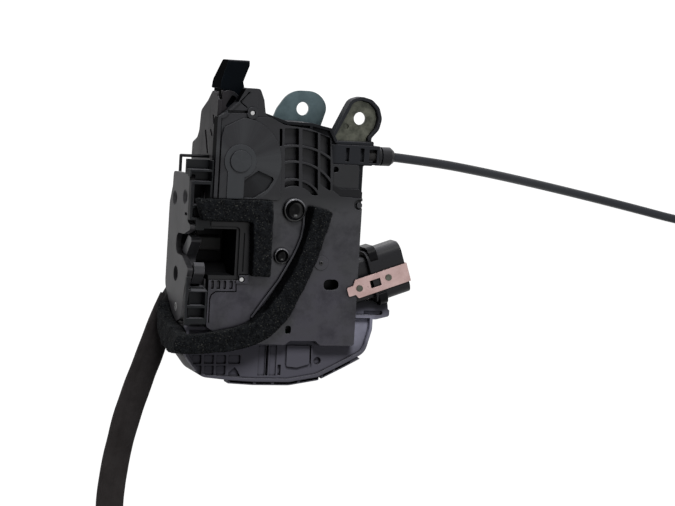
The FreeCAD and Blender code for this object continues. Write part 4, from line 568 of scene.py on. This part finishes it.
cablePoints = cableRoute + coilPoints() + tailRoute
cableLength = lineLength(centreline(cablePoints))
conduit = splineThrough("conduit", cablePoints, cable["radius"], "latch_body", finishes["jacket"])
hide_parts("cable_conduit", "cable_coil", "cable_tail")
print("cable", round(cableLength, 3))

# Tie round two turns of the coil: a flat band whose edges, further out along it, lie closer to the cable
tieBand = {
    "angle": 40.0, "reach": 30.0, "across": 2.75, "up": 5.5, "upLimit": 5.45, "square": 0.6, "around": 28,
    "edges": [(-1.6, 0.15), (-1.2, 0.55), (1.2, 0.55), (1.6, 0.15)]}


def coilTie():
    angle = math.radians(tieBand["angle"])
    outward = Vector((math.cos(angle), math.sin(angle), 0.0))
    along = Vector((-math.sin(angle), math.cos(angle), 0.0))
    middle = Vector((cable["coilCentre"][0], cable["coilCentre"][1], (cable["low"] + cable["high"]) / 2))
    centre = middle + outward * tieBand["reach"]
    mesh = bmesh.new()
    rings = []
    for side, swell in tieBand["edges"]:
        ring = []
        across = tieBand["across"] + swell
        up = min(tieBand["up"] + swell, tieBand["upLimit"])
        for index in range(tieBand["around"]):
            turn = 2 * math.pi * index / tieBand["around"]
            spot = centre + outward * squared(math.cos(turn), tieBand["square"]) * across + along * side
            spot += upward * squared(math.sin(turn), tieBand["square"]) * up
            ring.append(mesh.verts.new(spot * mm))
        rings.append(ring)
    joinRings(mesh, rings)
    return asPiece("coilTie", mesh, "softBlack", "latch_body")


def squared(share, power):
    return math.copysign(abs(share) ** power, share)


def joinRings(mesh, rings):
    for first, second in zip(rings, rings[1:]):
        for index in range(len(first)):
            mesh.faces.new((first[index - 1], first[index], second[index], second[index - 1]))


def asPiece(name, mesh, look, body):
    data = bpy.data.meshes.new(name)
    bmesh.ops.recalc_face_normals(mesh, faces=mesh.faces)
    mesh.to_mesh(data)
    mesh.free()
    for face in data.polygons:
        face.use_smooth = True
    data.materials.append(finishes[look])
    piece = bpy.data.objects.new(name, data)
    bpy.context.scene.collection.objects.link(piece)
    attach(piece, body)
    return piece


tie = coilTie()

# Felt wrapped lead: a flat, limp sleeve that lies on the table
lead = {"width": 17.0, "height": 7.6, "around": 48, "step": 1.0, "margin": 0.3, "sideSquare": 0.62,
        "topSquare": 0.72, "swell": 0.45, "fold": 0.9, "foldAt": 1.6, "foldSway": 1.5, "foldWide": 1.3,
        "seam": 0.5, "seamAt": -2.6, "seamWide": 1.0, "foldDepth": 0.75, "rumple": 0.55, "nap": 0.12}
leadRoute = [
    (5.2, -35.0, -25.5), (-2.0, -52.0, -25.5), (-7.6, -70.0, -25.5), (-14.9, -91.0, -25.5),
    (-21.2, -113.0, -25.5), (-25.8, -138.0, -25.5), (-28.0, -164.0, -25.5), (-24.6, -190.0, -25.5),
    (-16.4, -212.0, -25.5)]


def resample(places, step):
    total = lineLength(places)
    count = max(2, round(total / step))
    spots = []
    walked = 0.0
    index = 0
    for number in range(count + 1):
        goal = total * number / count
        while index < len(places) - 2 and walked + (places[index + 1] - places[index]).length < goal:
            walked += (places[index + 1] - places[index]).length
            index += 1
        run = places[index + 1] - places[index]
        share = min(1.0, (goal - walked) / max(run.length, 1e-9))
        spots.append(places[index] + run * share)
    return spots


# How far the felt's upper face rises above its flat form
def feltRise(travelled, wide):
    middle = lead["foldAt"] + lead["foldSway"] * math.sin(travelled * 0.035)
    fold = lead["fold"] * math.exp(-((wide - middle) / lead["foldWide"]) ** 2)
    fold -= lead["seam"] * math.exp(-((wide - lead["seamAt"]) / lead["seamWide"]) ** 2)
    rumple = lead["rumple"] * noise.noise(Vector((travelled * 0.11, wide * 0.45, 1.7)))
    return rumple - fold * lead["foldDepth"]


def feltSleeve():
    spots = resample(centreline(leadRoute), lead["step"] * mm)
    mesh = bmesh.new()
    rings = []
    for number, spot in enumerate(spots):
        ahead = (spots[min(number + 1, len(spots) - 1)] - spots[max(number - 1, 0)]).normalized()
        side = ahead.cross(upward).normalized()
        ring = []
        travelled = number * lead["step"]
        swell = lead["swell"] * noise.noise(Vector((travelled * 0.06, 3.1, 0.0)))
        halfWidth = lead["width"] / 2 - lead["margin"] + swell
        halfHeight = lead["height"] / 2 - lead["margin"]
        for index in range(lead["around"]):
            turn = 2 * math.pi * index / lead["around"]
            wide = squared(math.cos(turn), lead["sideSquare"]) * halfWidth
            tall = squared(math.sin(turn), lead["topSquare"]) * halfHeight
            if tall > 0:
                tall += feltRise(travelled, wide) * min(1.0, tall)
            tall += lead["nap"] * noise.noise(Vector((travelled * 0.9, wide * 1.4, tall)))
            ring.append(mesh.verts.new(spot + (side * wide + upward * tall) * mm))
        rings.append(ring)
    joinRings(mesh, rings)
    for ring in (rings[0], rings[-1]):
        mesh.faces.new(ring)
    piece = asPiece("feltSleeve", mesh, "felt", "latch_body")
    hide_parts("felt_lead")
    return piece, spots


sleeve, sleevePath = feltSleeve()
lineLength(sleevePath)
print("lead", round(lineLength(sleevePath), 3))

# Foam seals on the cover
foams = {
    "height": 6.0, "glue": 0.05, "voxel": 0.9, "rumple": 0.55, "pores": 0.22, "stillBelow": 2.0,
    "wrapFrom": 1.0, "wrapOver": 3.0,
    "mouth": [(1.4, 28.4), (47.6, 28.4), (48.6, -16.0), (36.8, -15.6), (35.8, 15.9), (5.4, 16.1)],
    "curved": [
        (72.8, 26.2), (84.6, 23.2), (80.6, 8.5), (77.0, -3.4), (73.6, -13.0), (69.8, -21.6), (65.6, -30.2),
        (61.0, -38.6), (55.0, -46.2), (47.0, -52.6), (38.0, -56.6), (27.0, -59.2), (12.0, -60.8),
        (-2.0, -61.0), (-7.4, -58.4), (-8.0, -53.4), (-3.0, -50.2), (9.2, -49.4), (20.0, -47.6),
        (30.0, -45.6), (38.6, -42.2), (46.0, -36.0), (53.0, -27.0), (59.0, -17.4), (64.0, -7.4),
        (68.0, 4.6)],
    "flare": {0: -3.0, 20: -1.0, 21: -2.4, 22: -2.8, 23: -2.6, 24: -2.2, 25: -1.2},
    "fold": [(-50.4, 27.3), (-58.0, 27.3), (-61.6, 22.0), (-62.8, 9.0), (-60.2, -7.0), (-54.2, -15.8),
             (-44.0, -19.0), (-35.8, -18.2), (-41.4, -11.2), (-46.2, 1.6), (-47.4, 12.0), (-49.4, 20.0)],
    "foldReach": (-6.2, 1.45)}


def addPrism(mesh, corners, reach, flare=None):
    foot = [mesh.verts.new(Vector(corner) * mm) for corner in corners]
    raised = bmesh.ops.extrude_face_region(mesh, geom=[mesh.faces.new(foot)])
    top = [item for item in raised["geom"] if isinstance(item, bmesh.types.BMVert)]
    bmesh.ops.translate(mesh, vec=Vector(reach) * mm, verts=top)
    for index, shift in (flare or {}).items():
        foot[index].co.x += shift * mm


def foamPiece(name, outline, replaced, fold=(), flare=None):
    low = levels["cover"]
    mesh = bmesh.new()
    addPrism(mesh, [(x, y, low + foams["glue"]) for x, y in outline], (0, 0, foams["height"]), flare)
    if fold:
        left, right = foams["foldReach"]
        addPrism(mesh, [(left, y, z) for y, z in fold], (right - left, 0, 0))
    piece = asPiece(name, mesh, "foam", "latch_body")
    remesh = piece.modifiers.new("even", "REMESH")
    remesh.mode = "VOXEL"
    remesh.voxel_size = foams["voxel"] * mm
    smooth = piece.modifiers.new("soften", "SMOOTH")
    smooth.iterations = 3
    smooth.factor = 0.5
    bpy.context.view_layer.update()
    graph = bpy.context.evaluated_depsgraph_get()
    solid = bpy.data.meshes.new_from_object(piece.evaluated_get(graph))
    piece.modifiers.clear()
    piece.data = solid
    for vertex in solid.vertices:
        spot = vertex.co / mm
        lift = min(1.0, max(0.0, (spot.z - low) / foams["stillBelow"]))
        if spot.z < low + 1.0 and spot.x < foams["wrapFrom"]:
            lift = min(1.0, max(0.0, (foams["wrapFrom"] - spot.x) / foams["wrapOver"]))
        big = noise.noise(spot * 0.16) * foams["rumple"]
        small = noise.noise(spot * 0.9) * foams["pores"] + noise.noise(spot * 2.1) * foams["pores"] * 0.6
        vertex.co += vertex.normal * (big + small) * lift * mm
    for face in solid.polygons:
        face.use_smooth = True
    solid.materials.clear()
    solid.materials.append(finishes["foam"])
    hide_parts(replaced)
    return piece


foamPiece("mouthSeal", foams["mouth"], "mouth_foam")
foamPiece("curvedSeal", foams["curved"], "curved_foam", foams["fold"], foams["flare"])
print("foam seals placed")

# Table, light and background
stage = {
    "floorSize": 6.0, "gap": 0.1, "paper": 0.55, "glow": 1.42, "glowShare": 0.72, "sky": 0.06,
    "aim": (0.06, 0.01, 0.0),
    "lamps": [
        ("keyLight", (0.05, 1.05, 0.85), (0.6, 0.4), 10.0),
        ("fillLight", (0.50, -0.15, 1.2), (0.7, 0.7), 0.7),
        ("sideLight", (-1.0, 0.15, 0.14), (0.5, 0.25), 0.9)]}


def addFloor():
    mesh = bmesh.new()
    half = stage["floorSize"] / 2
    height = (levels["table"] - stage["gap"]) * mm
    corners = ((-half, -half), (half, -half), (half, half), (-half, half))
    mesh.faces.new([mesh.verts.new((x, y, height)) for x, y in corners])
    data = bpy.data.meshes.new("table")
    mesh.to_mesh(data)
    mesh.free()
    floor = bpy.data.objects.new("table", data)
    bpy.context.scene.collection.objects.link(floor)
    make = Finish("paleTable")
    matt = make.node("ShaderNodeBsdfDiffuse", {}, {"Color": (stage["paper"],) * 3 + (1.0,)})
    glow = make.node("ShaderNodeEmission", {}, {"Color": (1.0, 1.0, 1.0, 1.0), "Strength": stage["glow"]})
    seen = make.node("ShaderNodeLightPath", {}, {}, "Is Camera Ray")
    for kind in ("Is Glossy Ray", "Is Transmission Ray"):
        seen = make.greater(seen, make.node("ShaderNodeLightPath", {}, {}, kind))
    both = make.node("ShaderNodeMixShader", {}, {0: seen * stage["glowShare"], 1: matt, 2: glow})
    make.node("ShaderNodeOutputMaterial", {}, {"Surface": both})
    data.materials.append(make.material)


def addLamp(name, place, target, size, power):
    light = bpy.data.lights.new(name, "AREA")
    light.shape = "RECTANGLE"
    light.size = size[0]
    light.size_y = size[1]
    light.energy = power
    lamp = bpy.data.objects.new(name, light)
    bpy.context.scene.collection.objects.link(lamp)
    lamp.location = place
    lamp.rotation_euler = (Vector(target) - Vector(place)).to_track_quat("-Z", "Y").to_euler()


def addSky():
    world = bpy.data.worlds.new("studio")
    world.use_nodes = True
    bpy.context.scene.world = world
    tree = world.node_tree
    tree.nodes.clear()
    rays = tree.nodes.new("ShaderNodeLightPath")
    seen = rays.outputs["Is Camera Ray"]
    for kind in ("Is Glossy Ray", "Is Transmission Ray"):
        pick = tree.nodes.new("ShaderNodeMath")
        pick.operation = "MAXIMUM"
        tree.links.new(seen, pick.inputs[0])
        tree.links.new(rays.outputs[kind], pick.inputs[1])
        seen = pick.outputs[0]
    soft = tree.nodes.new("ShaderNodeBackground")
    soft.inputs["Strength"].default_value = stage["sky"]
    white = tree.nodes.new("ShaderNodeBackground")
    both = tree.nodes.new("ShaderNodeMixShader")
    for background in (soft, white):
        background.inputs["Color"].default_value = (1.0, 1.0, 1.0, 1.0)
    tree.links.new(seen, both.inputs[0])
    tree.links.new(soft.outputs[0], both.inputs[1])
    tree.links.new(white.outputs[0], both.inputs[2])
    output = tree.nodes.new("ShaderNodeOutputWorld")
    tree.links.new(both.outputs[0], output.inputs["Surface"])


addFloor()
addSky()
for lampName, lampPlace, lampSize, power in stage["lamps"]:
    addLamp(lampName, lampPlace, stage["aim"], lampSize, power)
bpy.context.scene.view_settings.view_transform = "Standard"

print("pieces ready")
